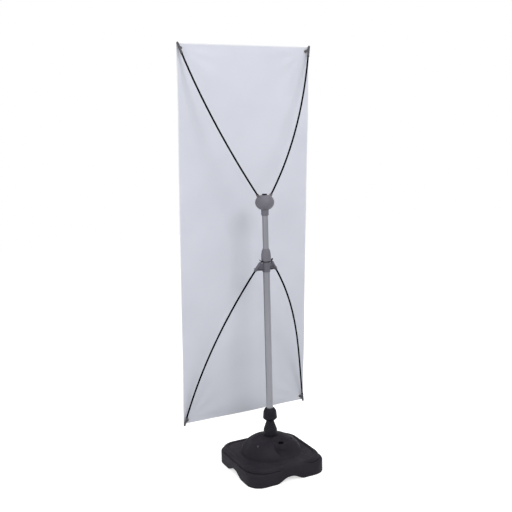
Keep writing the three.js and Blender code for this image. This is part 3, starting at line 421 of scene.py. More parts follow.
# The plug is nearly black and almost without gloss, darker than the black trim: painted shade of the
# filler's recess, laid on the plug.
PLUG_PAINTED_SHADE = Plastic("black_plug", "trim", (0.0012, 0.0011, 0.0016), (0.0022, 0.002, 0.0028),
               0.6, 0.75, 0.00005, 0.02, grain=1300.0, rub=0.05)
TRIM = Plastic("grained_black_trim", "trim", (0.0098, 0.009, 0.0132), (0.014, 0.0129, 0.0182),
               0.42, 0.58, 0.00005, 0.12, grain=1300.0, dust=0.01, rub=0.15)
GREY = Plastic("satin_grey_moulding", "grey", (0.135, 0.131, 0.158), (0.158, 0.154, 0.184),
               0.42, 0.55, 0.00003, 0.35, dust=0.03)
BRACKET = Plastic("shaded_grey_bracket", "grey", (0.108, 0.105, 0.13), (0.128, 0.125, 0.152),
                  0.45, 0.58, 0.00003, 0.3, dust=0.02)
HOOK = Plastic("dark_grey_hooks", "hook", (0.052, 0.05, 0.06), (0.075, 0.073, 0.085),
               0.42, 0.58, 0.00003, 0.35, dust=0.04, rub=0.3)
SEAL = Plastic("black_rubber_seal", "seal", (0.009, 0.009, 0.01), (0.014, 0.014, 0.015),
               0.7, 0.85, 0.00004, 0.3, grain=1500.0, dust=0.08, rub=0.1)
NYLON = Plastic("natural_nylon", "nylon", (0.62, 0.6, 0.55), (0.55, 0.53, 0.48),
                0.45, 0.6, 0.00003, 0.45, grain=1500.0, dust=0.02)
WATER = Plastic("tap_water", "water", (0.16, 0.28, 0.34), (0.2, 0.33, 0.4),
                0.04, 0.08, 0.00008, coat=0.4, grain=60.0, rub=0.0)
TUBE = Metal("satin_aluminium", "tube", (0.212, 0.216, 0.242), (0.26, 0.265, 0.292),
             0.3, 0.42, 0.00002, 0.4, 0.72, streaks=520.0, length=1.2)
SILVER = Metal("bright_steel", "silver", (0.5, 0.5, 0.49), (0.64, 0.64, 0.62),
               0.2, 0.34, 0.00002, metallic=1.0)
FERRULE = Metal("dull_nickel_ferrule", "silver", (0.105, 0.092, 0.095), (0.17, 0.155, 0.16),
                0.42, 0.55, 0.00002, 0.15, 0.4)
CLIP = Metal("dark_spring_steel", "clip", (0.014, 0.013, 0.018), (0.022, 0.021, 0.027),
             0.5, 0.65, 0.00002, 0.03, streaks=300.0, length=240.0)
ROD = Metal("black_rod_sleeve", "rod", (0.0008, 0.0006, 0.0018), (0.0016, 0.0013, 0.003),
            0.4, 0.52, 0.00002, 0.01, streaks=500.0, length=60.0)
CLOTH = Cloth("banner_cloth", "banner", (0.656, 0.674, 0.748), (0.611, 0.629, 0.701),
              0.55, 0.7, 0.00006, 0.25, sheen=0.06)


# Shapes


def softened(profile: Profile, reach: float, loop: bool, steps: int) -> Profile:
    """Rounds the corners of a turned piece's profile.

    Args:
        profile: Radius and height of each corner.
        reach: How far a rounding reaches along each side of a corner.
        loop: Whether the profile closes on itself.
        steps: Parts in each rounding.

    Returns:
        The rounded profile.
    """
    nearly_straight, longest_share = -0.985, 0.45
    corners = [Vector(point) for point in profile]
    result: list[tuple[float, float]] = []
    for i, corner in enumerate(corners):
        before = corners[i - 1] - corner
        after = corners[(i + 1) % len(corners)] - corner
        at_end = not loop and i in (0, len(corners) - 1)
        if at_end or before.normalized().dot(after.normalized()) < nearly_straight:
            result.append(profile[i])
            continue
        run = min(reach, before.length * longest_share, after.length * longest_share)
        first, last = corner + before.normalized() * run, corner + after.normalized() * run
        for share in (step / steps for step in range(steps + 1)):
            point = first.lerp(corner, share).lerp(corner.lerp(last, share), share)
            result.append((point.x, point.y))
    return result


def stepped(heights: Sequence[float], radii: Sequence[float]) -> Profile:
    """The profile of a stepped bar: one radius between each height and the next."""
    steps = [(radius, height) for i, radius in enumerate(radii) for height in heights[i:i + 2]]
    return [(0, heights[0]), *steps, (0, heights[-1])]


def turned(profile: Profile, soft: float = 0.0, steps: int = ROUND, loop: bool = False,
           parts: int = 4) -> Shape:
    """Spins a profile about Z.

    Args:
        profile: Radius and height of each point; one that starts and ends on the axis is closed.
        soft: How far the roundings of its corners reach, or none.
        steps: Parts round the axis.
        loop: Whether the profile closes on itself, as for a ring.
        parts: Parts in each rounding.

    Returns:
        A closed shape.
    """
    outline = softened(profile, soft, loop, parts) if soft else profile
    shape = bmesh.new()
    points = [shape.verts.new((radius, 0.0, height)) for radius, height in outline]
    pairs = [*zip(points, points[1:]), *([(points[-1], points[0])] if loop else [])]
    lines = [shape.edges.new(pair) for pair in pairs]
    bmesh.ops.spin(shape, geom=points + lines, cent=(0, 0, 0), axis=(0, 0, 1), angle=tau,
                   steps=steps, use_merge=True)
    bmesh.ops.remove_doubles(shape, verts=shape.verts, dist=MERGE)
    bmesh.ops.recalc_face_normals(shape, faces=shape.faces)
    return shape


def tube(inner: float, outer: float, low: float, high: float, edge: float = 0.4,
         steps: int = ROUND) -> Shape:
    """A tube along Z with softened rims."""
    outline = [(inner, low), (outer, low), (outer, high), (inner, high)]
    return turned(outline, edge, steps, loop=True, parts=3)


def bar(radius: float, low: float, high: float, steps: int = SMALL) -> Shape:
    """A plain round bar along Z, also used as a drill."""
    shape = bmesh.new()
    bmesh.ops.create_cone(shape, cap_ends=True, segments=steps, radius1=radius, radius2=radius,
                          depth=high - low)
    return moved(shape, (0, 0, (high + low) / 2))


def block(low: Place, high: Place) -> Shape:
    """A box between two corners."""
    shape, near, far = bmesh.new(), Vector(low), Vector(high)
    bmesh.ops.create_cube(shape, size=1.0)
    bmesh.ops.scale(shape, verts=shape.verts, vec=far - near)
    return moved(shape, (far + near) / 2)


def slab(outline: Iterable[Place], height: float) -> Shape:
    """A flat plate: a level outline extruded upwards."""
    shape = bmesh.new()
    face = shape.faces.new([shape.verts.new(point) for point in outline])
    grown = bmesh.ops.extrude_face_region(shape, geom=[face])["geom"]
    top = [item for item in grown if isinstance(item, bmesh.types.BMVert)]
    bmesh.ops.translate(shape, verts=top, vec=(0, 0, height))
    bmesh.ops.recalc_face_normals(shape, faces=shape.faces)
    return shape


def hull(points: Iterable[Place]) -> Shape:
    """The convex body round a few points."""
    shape = bmesh.new()
    bmesh.ops.convex_hull(shape, input=[shape.verts.new(point) for point in points])
    bmesh.ops.recalc_face_normals(shape, faces=shape.faces)
    return shape


def placed(shape: Shape, matrix: Matrix) -> Shape:
    """Brings a shape into another frame."""
    bmesh.ops.transform(shape, matrix=matrix, verts=shape.verts)
    return shape


def laid(shape: Shape, origin: Place, line: Vector) -> Shape:
    """Lays a shape that was made along Z along a line from a point."""
    turn = Vector((0, 0, 1)).rotation_difference(line).to_matrix().to_4x4()
    return placed(shape, Matrix.Translation(origin) @ turn)


def moved(shape: Shape, place: Place) -> Shape:
    """Moves a shape by a vector."""
    bmesh.ops.translate(shape, verts=shape.verts, vec=place)
    return shape


def mesh_of(shape: Shape, name: str) -> bpy.types.Mesh:
    """Turns a shape into a mesh and uses it up."""
    mesh = bpy.data.meshes.new(name)
    shape.to_mesh(mesh)
    shape.free()
    return mesh


def shown(name: str, data: bpy.types.ID) -> Object:
    """Puts a mesh, curve, lamp or camera in the scene as an object."""
    holder = bpy.data.objects.new(name, data)
    bpy.context.scene.collection.objects.link(holder)
    return holder


def discard(holder: Object) -> None:
    """Removes a short-lived object and its data."""
    data, store = holder.data, bpy.data.curves if holder.type == "CURVE" else bpy.data.meshes
    bpy.data.objects.remove(holder)
    store.remove(data)


def taken(holder: Object) -> Shape:
    """The merged shape that a short-lived object shows; the object is removed."""
    bpy.context.view_layer.update()
    seen = holder.evaluated_get(bpy.context.evaluated_depsgraph_get())
    result = bmesh.new()
    result.from_mesh(seen.to_mesh())
    seen.to_mesh_clear()
    discard(holder)
    bmesh.ops.remove_doubles(result, verts=result.verts, dist=MERGE)
    return result


def gathered(shapes: Iterable[Shape]) -> Shape:
    """Puts shapes that don't touch into one."""
    whole = bmesh.new()
    for shape in shapes:
        carrier = mesh_of(shape, "carrier")
        whole.from_mesh(carrier)
        bpy.data.meshes.remove(carrier)
    return whole


def combined(shape: Shape, tool: Shape, how: Join) -> Shape:
    """Joins, cuts or intersects two closed shapes and uses both up.

    Args:
        shape: The shape that is kept.
        tool: The shape that is added or cut away.
        how: The kind of join.

    Returns:
        The new closed shape.
    """
    host, other = shown("host", mesh_of(shape, "host")), shown("tool", mesh_of(tool, "tool"))
    step = host.modifiers.new("join", "BOOLEAN")
    step.operation, step.solver, step.object = how.value, "EXACT", other
    result = taken(host)
    discard(other)
    return result


def joined(shapes: Sequence[Shape]) -> Shape:
    """Joins overlapping shapes into one."""
    whole = shapes[0]
    for shape in shapes[1:]:
        whole = combined(whole, shape, Join.UNION)
    return whole


def cut(shape: Shape, *tools: Shape) -> Shape:
    """Cuts each tool out of a shape."""
    for tool in tools:
        shape = combined(shape, tool, Join.CUT)
    return shape


def at_angle(level: Level, angle: float) -> float:
    """A ring's radius or height at an angle."""
    return level(angle) if callable(level) else level


def lofted(rings: Iterable[Ring], steps: int) -> Shape:
    """Grows a closed skin ring by ring from a capped circle.

    Args:
        rings: For each ring, its radius and its height, the same all round or by angle.
        steps: Points round each ring.

    Returns:
        The closed shape.
    """
    shape = bmesh.new()
    bmesh.ops.create_circle(shape, cap_ends=True, segments=steps, radius=1.0)
    verts, edges = list(shape.verts), list(shape.edges)
    for number, (radius, height) in enumerate(rings):
        if number:
            grown = bmesh.ops.extrude_edge_only(shape, edges=edges)["geom"]
            verts = [item for item in grown if isinstance(item, bmesh.types.BMVert)]
            edges = [item for item in grown if isinstance(item, bmesh.types.BMEdge) and item.is_boundary]
        for vert in verts:
            angle = atan2(vert.co.y, vert.co.x)
            reach = at_angle(radius, angle)
            vert.co = (reach * cos(angle), reach * sin(angle), at_angle(height, angle))
    bmesh.ops.edgeloop_fill(shape, edges=edges)
    bmesh.ops.recalc_face_normals(shape, faces=shape.faces)
    return shape


def bent_bar(knots: Sequence[tuple[Vector, Vector, Vector]], radius: float, parts: int) -> Shape:
    """A round bar along a smooth curve, with closed ends.

    Args:
        knots: Each point of the curve with its left and right handles.
        radius: The bar's radius.
        parts: Parts along each stretch between two points.

    Returns:
        The closed shape.
    """
    curve = bpy.data.curves.new("bar", "CURVE")
    curve.dimensions, curve.use_fill_caps, curve.resolution_u = "3D", True, parts
    curve.bevel_depth, curve.bevel_resolution = radius, BAR_DETAIL
    spline = curve.splines.new("BEZIER")
    spline.bezier_points.add(len(knots) - 1)
    for knot, (place, before, after) in zip(spline.bezier_points, knots):
        knot.handle_left_type = knot.handle_right_type = "FREE"
        knot.co, knot.handle_left, knot.handle_right = place, before, after
    result = taken(shown("bar", curve))
    bmesh.ops.recalc_face_normals(result, faces=result.faces)
    return result


def finished(shape: Shape, name: str, body: str, finish: Finish, node: str, sharp: float = 34.0,
             edge: float = 0.0) -> Object:
    """Brings a shape to metres and makes it a dressed piece of the stand.

    Args:
        shape: The closed shape, in millimetres.
        name: The piece's name.
        body: The body that it rides on.
        finish: Its finish.
        node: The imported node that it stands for.
        sharp: Edges past this many degrees stay crisp.
        edge: Width of the small rounding on crisp edges, in millimetres, or none.

    Returns:
        The piece.
    """
    bmesh.ops.scale(shape, verts=shape.verts, vec=(MM, MM, MM))
    mesh = mesh_of(shape, name)
    mesh.shade_smooth()
    mesh.set_sharp_from_angle(angle=radians(sharp))
    mesh.materials.append(finish.material())
    piece = shown(name, mesh)
    if edge:
        rounding = piece.modifiers.new("edge", "BEVEL")
        rounding.width, rounding.segments = edge * MM, BEVEL_PARTS
        rounding.limit_method, rounding.angle_limit = "ANGLE", radians(BEVEL_ANGLE)
    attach(piece, body)
    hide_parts(node)
    LOG.info("%s on %s: %d faces", name, body, len(mesh.polygons))
    return piece


def dress(node: str, finish: Finish) -> None:
    """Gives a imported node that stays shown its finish."""
    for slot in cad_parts[node].material_slots:
        slot.material = finish.material()
    LOG.info("%s keeps its shape, dressed as %s", node, finish.name)


# Tank base


@dataclass(frozen=True)
class Scoop:
    """A hollow pressed into the dome: degrees past its steep edge, its fall outwards and depth."""

    steep: float
    floor: float
    gentle: float
    power: float
    depth: float


@dataclass
class TankBase:
    """The square water tank with its hand-holds, scooped dome, neck, filler mouth and vent."""

    side: float = 350.0
    corner_radius: float = 60.0
    wall: float = 3.0
    foot_round: float = 3.0
    shoulder_height: float = 50.0
    shoulder_shares: tuple[float, ...] = (0.0, 0.5, 0.8)
    ledge_height: float = 54.5
    ledge_depth: float = 3.2
    ledge_corner: float = 88.0
    bead: Profile = ((6.2, 54.2), (6.6, 55.2), (4.9, 55.9), (4.0, 57.2), (4.2, 58.8), (5.1, 60.2),
                     (6.5, 61.0))
    tight_corner: tuple[float, ...] = (0.0, 0.35, 0.0, 0.85)
    crest_inset: float = 16.0
    crest_height: float = 70.0
    crest_steps: int = 8
    trough_inset: float = 24.0
    trough_height: float = 67.0
    trough_corner: float = 100.0
    channel_drop: float = 2.0
    channel_reach: float = 0.4
    trough_shares: tuple[float, ...] = (0.12, 0.25, 0.5, 0.75)
    dome_fillet: float = 4.0
    fillet_curve: Profile = ((1.0, 0.0), (0.6, 0.12), (0.3, 0.4), (0.1, 0.8))
    dome_radius: float = 127.0
    dome_height: float = 140.0
    dome_start: float = 0.1
    dome_steps: int = 34
    slope_share: float = 1.35
    inner_shares: tuple[float, ...] = (0.9, 0.72, 0.56, 0.44, 0.3)
    neck_radius: float = 24.0
    neck_rise: float = 19.0
    neck_edge: float = 1.0
    neck_root: tuple[float, float] = (0.9, 0.8)
    well_radius: float = 11.3
    well_floor: float = 20.0
    hold_width: float = 134.0
    hold_top: float = 14.0
    hold_height: float = 21.0
    hold_depth: float = 46.0
    hold_edge: float = 1.6
    hold_play: float = 0.2
    rim_width: float = 60.0
    scoops: tuple[Scoop, ...] = (Scoop(6.0, 32.0, 74.0, 2.4, 1.0), Scoop(40.0, 56.0, 96.0, 1.2, 0.45),
                                 Scoop(40.0, 56.0, 96.0, 1.2, 0.45))
    scoop_angle: float = 71.0
    scoop_swirl: float = 15.0
    swirl_power: float = 3.0
    scoop_inner: float = 74.0
    scoop_slant: float = 14.0
    scoop_outer: float = 116.0
    scoop_height: float = 69.0
    lip: tuple[float, float] = (73.0, 122.0)
    lip_fade: tuple[float, float] = (9.0, 14.0)
    lip_round: float = 12.0
    lip_foot: float = 58.0
    filler_at: tuple[float, float] = (98.0, 74.0)
    boss_height: float = 125.5
    boss_fall: float = 20.0
    boss_flare: float = 8.0
    boss_waist: tuple[float, float] = (0.42, 0.5)
    boss_soft: float = 1.6
    mouth_chamfer: float = 0.6
    mouth_drop: float = 0.7
    mouth_flare: float = 1.2
    cap_radius: float = 10.8
    cap_thickness: float = 4.0
    seal_thickness: float = 1.2
    stem_radius: float = 8.0
    stem_length: float = 11.0
    seat_margin: float = 1.0
    seat_depth: float = 3.5
    slot_width: float = 2.2
    slot_depth: float = 1.6
    plug_soft: float = 0.9
    vent_at: tuple[float, float] = (151.0, 86.5)
    vent_hole: float = 5.0
    vent_well: float = 16.0
    pip_at: tuple[float, float] = (27.0, 91.0)
    pip_base: float = 3.6
    pip_height: float = 4.0
    pip_taper: float = 0.94
    pip_soft: float = 1.4
    ring_steps: int = 288
    inner_steps: int = 96
    near_angle: float = tau / 30
    near_shares: tuple[float, ...] = (-1.0, -0.5, 0.0, 0.5, 1.0)

    def __post_init__(self) -> None:
        """Works out what more than one of its shapes uses."""
        self.neck_top = self.dome_height + self.neck_rise
        self.seat = self.boss_height - self.seat_depth
        self.mouth_radius = self.cap_radius + self.seat_margin
        self.collar_foot = self.seat - self.stem_length - self.wall
        self.filler, self.vent, self.pip = (
            Vector((reach * cos(radians(angle)), reach * sin(radians(angle)), 0.0))
            for angle, reach in (self.filler_at, self.vent_at, self.pip_at))

    def outline(self, angle: float, inset: float, corner: float | None = None) -> float:
        """Distance from the axis to a rounded square.

        Args:
            angle: Direction from the axis, in radians.
            inset: How far the square lies inside the tank's outline.
            corner: Its corner radius, or none for the walls' own.

        Returns:
            The distance in millimetres.
        """
        half = self.side / 2 - inset
        own = max(self.corner_radius - inset, half * self.corner_radius / (self.side / 2))
        tight = self.tight_corner[int(angle % tau // (pi / 2)) % 4]
        corner = own if corner is None else mix(corner, own, tight)
        fold = angle % (pi / 2)
        fold = min(fold, pi / 2 - fold)
        if half * tan(fold) <= half - corner:
            return half / cos(fold)
        centre = half - corner
        along = centre * (cos(fold) + sin(fold))
        return along + sqrt(along ** 2 - 2 * centre ** 2 + corner ** 2)

    def hold_rise(self, angle: float) -> float:
        """How far the hand-holds lift the lower edge at an angle."""
        across = self.outline(angle, 0) * sin(angle - round(angle / (pi / 2)) * pi / 2)
        return self.hold_height * (1 - smoothstep(abs(across), self.hold_top / 2, self.hold_width / 2))

    def dome_at(self, radius: float) -> float:
        """Height of the dome, half an ellipsoid on the trough's floor."""
        share = min(radius / self.dome_radius, 1.0)
        return self.trough_height + (self.dome_height - self.trough_height) * sqrt(1 - share ** 2)

    def past_steep_edge(self, angle: float, radius: float) -> tuple[Scoop, float]:
        """The scoop whose swirling steep edge lies before an angle, and how far before."""
        run = clamp((radius - self.scoop_inner) / (self.dome_radius - self.scoop_inner))
        steep = radians(self.scoop_angle + self.scoop_swirl * run ** self.swirl_power)
        number, past = divmod((angle - steep) % tau, tau / len(self.scoops))
        return self.scoops[int(number) % len(self.scoops)], past

    def skin(self, angle: float, radius: float) -> float:
        """Height of the dome less its scoops, which start farther out on their gentle side."""
        scoop, past = self.past_steep_edge(angle, radius)
        start = self.scoop_inner - self.scoop_slant
        share = scoop.depth * smoothstep(past, 0, radians(scoop.steep))
        share *= smoothstep(radius, self.neck_radius, start)
        share *= 1 - smoothstep(past, radians(scoop.floor), radians(scoop.gentle))
        inner = self.scoop_inner + self.scoop_slant * smoothstep(past, 0, radians(scoop.floor))
        left = (1 - clamp((radius - inner) / (self.scoop_outer - inner))) ** scoop.power
        ridge = self.dome_at(radius)
        floor = mix(self.scoop_height, self.dome_at(inner), left)
        return ridge - max(0.0, ridge - floor) * share

    def lip_share(self, angle: float) -> float:
        """1 on the smooth lip beside the filler, 0 along the rest of the border."""
        (start, end), (rise, fall) = self.lip, self.lip_fade
        up = smoothstep(angle, radians(start), radians(start + rise))
        return up * (1 - smoothstep(angle, radians(end - fall), radians(end)))

    def border_height(self, angle: float, inset: float, relief: float) -> float:
        """A height on the border: its relief, or the smooth lip's rounding."""
        run = clamp(inset / self.lip_round)
        smooth = mix(self.lip_foot, self.crest_height, sqrt(1 - (1 - run) ** 2))
        return mix(relief, smooth, self.lip_share(angle))

    def square(self, inset: float, corner: float | None = None) -> Level:
        """The radius of a ring along the outline, an inset inside it."""
        return lambda angle: self.outline(angle, inset, corner)

    def border(self, inset: float, relief: float) -> Ring:
        """A ring on the border, where the smooth lip takes over beside the filler."""
        run = clamp((inset - self.ledge_depth) / (self.trough_inset - self.ledge_depth))
        return (self.square(inset, mix(self.ledge_corner, self.trough_corner, run)),
                lambda angle: self.border_height(angle, inset, relief))

    def shoulder(self, share: float) -> Ring:
        """A ring of the walls' upper part, whose corners lean in towards the ledge."""
        lean = 1 - cos(share * pi / 2)
        inset = self.ledge_depth * lean
        height = mix(self.shoulder_height, self.ledge_height, sin(share * pi / 2))
        return (self.square(inset, mix(self.corner_radius, self.ledge_corner, lean)),
                lambda angle: mix(height, max(height, self.border_height(angle, inset, height)),
                                  self.lip_share(angle)))

    def side_rings(self) -> list[Ring]:
        """Rings of the underside, hand-holds, side walls and the ledge."""
        rise, edge, deep = self.hold_rise, self.hold_edge, self.hold_depth - self.ledge_depth
        rings: list[Ring] = [
            (self.rim_width, 0.0), (self.square(self.hold_depth + edge), 0.0),
            (self.square(self.hold_depth), lambda angle: min(rise(angle), edge - self.hold_play)),
            (self.square(deep), lambda angle: max(rise(angle) - edge, 0.0)),
            (self.square(deep - edge - self.hold_play), rise),
        ]
        for turn in (pi / 8 * step for step in range(5)):
            rings.append((self.square(self.foot_round * (1 - sin(turn))),
                          lambda angle, lift=self.foot_round * (1 - cos(turn)): rise(angle) + lift))
        return rings + [self.shoulder(share) for share in self.shoulder_shares]

    def border_rings(self) -> list[Ring]:
        """Rings of the rim's bead, the rounded crest and its fall to the trough."""
        rings = [self.border(inset, height) for inset, height in self.bead]
        foot, low = self.bead[-1]
        shares = [step / self.crest_steps for step in range(1, self.crest_steps + 1)]
        for turn in (share * pi / 2 for share in shares):
            rings.append(self.border(mix(self.crest_inset, foot, cos(turn)),
                                     mix(low, self.crest_height, sin(turn))))
        for share in shares:
            fall = 0.5 - 0.5 * cos(pi * share)
            rings.append(self.border(mix(self.crest_inset, self.trough_inset, share),
                                     mix(self.crest_height, self.trough_height - self.channel_drop, fall)))
        return rings

    def dome_rings(self) -> list[Ring]:
        """Rings from the trough over the scooped dome to the neck and down the mast's well."""
        outer = self.dome_radius + self.dome_fillet
        trough = self.square(self.trough_inset, self.trough_corner)

        def floor(angle: float) -> float:
            """Height of the floor between the border and the dome."""
            return self.border_height(angle, self.trough_inset, self.trough_height)

        rings: list[Ring] = []
        for share in self.trough_shares:
            drop = self.channel_drop * (1 - smoothstep(share, 0, self.channel_reach))
            rings.append((lambda angle, share=share: mix(trough(angle), outer, share),
                          lambda angle, drop=drop: floor(angle) - drop * (1 - self.lip_share(angle))))
        for away, rise in self.fillet_curve:
            rings.append((self.dome_radius + self.dome_fillet * away,
                          lambda angle, rise=rise: floor(angle) + self.dome_fillet * rise))
        out, up = self.neck_root
        last = acos((self.neck_radius + out) / self.dome_radius)
        for step in range(self.dome_steps + 1):
            radius = self.dome_radius * cos(mix(self.dome_start, last, step / self.dome_steps))
            rings.append((radius, lambda angle, radius=radius: self.skin(angle, radius)))
        neck, well, top, edge = self.neck_radius, self.well_radius, self.neck_top, self.neck_edge
        return [*rings, (neck, self.dome_at(neck) + up), (neck, top - edge), (neck - edge, top),
                (well + edge, top), (well, top - edge), (well, self.well_floor + edge),
                (well - edge, self.well_floor)]

    def inner_rings(self, gap: float) -> list[Ring]:
        """Rings of the tank's inside, or of the water in it, a gap inside the walls."""
        inset = self.wall + gap
        hold, flank = self.square(self.hold_depth + inset), self.square(inset)
        ceiling = self.trough_height - self.channel_drop - inset

        def over(angle: float) -> float:
            """Height over the hand-holds."""
            return inset + max(self.hold_rise(near) for near in self.nearby(angle))

        rings: list[Ring] = [
            (self.rim_width, inset), (hold, inset), (hold, over), (flank, over),
            (flank, self.shoulder_height - inset),
            (self.square(inset + self.bead[-1][0], self.ledge_corner - inset), self.ledge_height - inset),
            (self.square(inset + self.crest_inset, self.ledge_corner), ceiling),
            (self.dome_radius - inset, ceiling),
        ]
        for radius in (self.dome_radius * share for share in self.inner_shares):
            rings.append((radius, lambda angle, radius=radius:
                          self.lowest_skin(angle, radius) - inset * self.slope_share))
        last = rings[-1][1]
        lowest = min(at_angle(last, tau * step / self.ring_steps) for step in range(self.ring_steps))
        return [*rings, (self.well_radius, lowest)]

    def nearby(self, angle: float) -> list[float]:
        """An angle and its neighbours, over which the tank's inside keeps clear of its skin."""
        return [angle + share * self.near_angle for share in self.near_shares]

    def lowest_skin(self, angle: float, radius: float) -> float:
        """The lowest point of the dome's skin near a place, a wall's thickness farther out too."""
        return min(self.skin(near, reach) for near in self.nearby(angle)
                   for reach in (radius, radius + self.wall))

    def shell(self) -> Shape:
        """The hollow tank."""
        seat, high, rim, stem = self.seat, self.boss_height, self.mouth_radius, self.stem_radius + CLEARANCE
        wide, foot, low = rim + self.wall, high - self.boss_fall, self.collar_foot - self.wall
        skin = lofted(self.side_rings() + self.border_rings() + self.dome_rings(), self.ring_steps)
        out, up = self.boss_waist
        boss = turned([(0, foot), (wide + self.boss_flare, foot),
                       (wide + self.boss_flare * out, foot + self.boss_fall * up), (wide, high),
                       (0, high)], self.boss_soft, parts=5)
        chamfer, flare, edge = self.mouth_chamfer, self.mouth_flare, high - self.mouth_drop
        mouth = turned([
            (0, low), (stem, low), (stem, seat - chamfer), (stem + chamfer, seat), (rim, seat),
            (rim, edge), (rim + flare, edge + flare), (rim + flare, self.dome_height),
            (0, self.dome_height),
        ])
        vent = bar(self.vent_hole, self.ledge_height, self.dome_height)
        drills = gathered([moved(mouth, self.filler), moved(vent, self.vent)])
        return cut(joined([skin, moved(boss, self.filler)]), self.inside(0.0), drills)

    def inside(self, gap: float) -> Shape:
        """The tank's inside round its well and its filler, or the water that fills it to a gap."""
        top = self.dome_height
        tools = [bar(self.well_radius + self.wall + gap, -self.wall, self.neck_top),
                 moved(bar(self.mouth_radius + self.wall + gap, self.collar_foot - gap, top), self.filler)]
        if gap:
            angle, reach = self.vent_at
            foot = self.skin(radians(angle), reach) - self.vent_well
            tools.append(moved(bar(2 * self.vent_hole, foot, top), self.vent))
        return cut(lofted(self.inner_rings(gap), self.inner_steps), gathered(tools))

    def nub(self) -> Shape:
        """The small pip on the dome, sunk to its waist in the skin."""
        angle, reach = self.pip_at
        foot = self.skin(radians(angle), reach) - self.pip_height
        top = foot + 2 * self.pip_height
        outline = [(0, foot), (self.pip_base, foot), (self.pip_base * self.pip_taper, top), (0, top)]
        return moved(turned(outline, self.pip_soft, SMALL, parts=5), self.pip)

    def plug(self) -> Shape:
        """The filler's slotted plug."""
        foot = self.seat + self.seal_thickness + 2 * CLEARANCE
        low, top = foot - self.stem_length, foot + self.cap_thickness
        body = turned(stepped((low, foot, top), (self.stem_radius, self.cap_radius)), self.plug_soft)
        reach, half = self.cap_radius + OVERSHOOT, self.slot_width / 2
        slot = block((-reach, -half, top - self.slot_depth), (reach, half, top + OVERSHOOT))
        return moved(cut(body, slot), self.filler)

    def build(self) -> None:
        """Builds the tank and its plug and dresses what they hold."""
        finished(self.shell(), "tank_shell", "base", TANK, "base_tank", sharp=30.0)
        finished(self.nub(), "dome_pip", "base", PIP_PAINTED_HIGHLIGHT, "base_tank")
        finished(self.inside(CLEARANCE), "water", "base", WATER, "water_fill")
        finished(self.plug(), "slotted_plug", "filler", PLUG_PAINTED_SHADE, "filler_cap", edge=0.25)
        dress("filler_seal", SEAL)


# Neck and mast


@dataclass(frozen=True)
class Collet:
    """A split cone that a nut closes on a tube: its walls at foot and tip, and its room's height."""

    foot: float
    tip: float
    room: float

    def chamber(self, bore: float, stop: float, thread: float) -> Profile:
        """The hollow round the collet on its stop, from its throat down to the thread."""
        wide = bore + self.foot + CLEARANCE
        return [(bore + self.tip + CLEARANCE, stop + CLEARANCE + self.room), (wide, stop + CLEARANCE),
                (wide, stop - CLEARANCE), (thread, stop - CLEARANCE)]


@dataclass
class Neck:
    """The threaded cap on the tank's neck and the nut that clamps the mast in it."""

    thread_radius: float = 24.3
    skirt_radius: float = 28.8
    skirt_height: float = 24.8
    cone_height: float = 35.5
    waist_radius: float = 16.2
    wall: float = 3.4
    seat_rise: float = 12.0
    well_radius: float = 11.3
    slot_width: float = 2.4
    slot_depth: float = 17.0
    stub_bore: float = 14.3
    neck_top: float = 159.3
    chamfer_height: float = 11.5
    grip_height: float = 24.0
    shoulder_height: float = 19.0
    foot_radius: float = 17.6
    grip_radius: float = 30.0
    shoulder_radius: float = 28.0
    rim_radius: float = 18.5
    collar_run: float = 2.0
    shoulder_curve: Profile = ((0.18, 0.955), (0.35, 0.86), (0.53, 0.71), (0.7, 0.5), (0.86, 0.28))
    collet: Collet = Collet(2.9, 1.2, 12.0)
    cap_soft: float = 1.3
    nut_soft: float = 1.5

    def cap(self) -> Shape:
        """The cap's threaded skirt, cone and split stub."""
        foot, top = span("neck_cap")
        skirt = foot + self.skirt_height
        waist = skirt + self.cone_height
        seat = waist + self.seat_rise
        body = turned([
            (self.thread_radius, foot), (self.skirt_radius, foot), (self.skirt_radius, skirt),
            (self.waist_radius, waist), (self.waist_radius, top), (self.stub_bore, top),
            (self.stub_bore, seat), (self.well_radius, seat), (self.well_radius, waist - self.wall),
            (self.thread_radius - self.wall, self.neck_top), (self.thread_radius, self.neck_top),
        ], self.cap_soft, loop=True)
        reach, half = self.waist_radius + OVERSHOOT, self.slot_width / 2
        return cut(body, *(block((-x, -y, top - self.slot_depth), (x, y, top + OVERSHOOT))
                           for x, y in ((reach, half), (half, reach))))

    def nut(self) -> Shape:
        """The clamping nut, with its chamfered foot, tapered grip and rounded shoulder."""
        foot, top = span("neck_nut")
        grip_foot = foot + self.chamfer_height
        grip_top = grip_foot + self.grip_height
        thread = self.waist_radius + CLEARANCE
        shoulder = [(mix(self.rim_radius, self.shoulder_radius, out), grip_top + self.shoulder_height * rise)
                    for rise, out in self.shoulder_curve]
        chamber = self.collet.chamber(self.stub_bore, span("neck_cap")[1], thread)
        return turned([
            (thread, foot), (self.foot_radius, foot), (self.grip_radius, grip_foot),
            (self.grip_radius, grip_foot + self.collar_run), (self.shoulder_radius, grip_top),
            *shoulder, (self.rim_radius, top), (chamber[0][0], top), *chamber,
        ], self.nut_soft, loop=True)

    def build(self) -> None:
        """Builds the cap and nut and dresses the collet between them."""
        finished(self.cap(), "threaded_cap", "base", TRIM, "neck_cap", edge=0.3)
        finished(self.nut(), "clamping_nut", "nut", TRIM, "neck_nut", sharp=28.0)
        dress("neck_collet", NYLON)


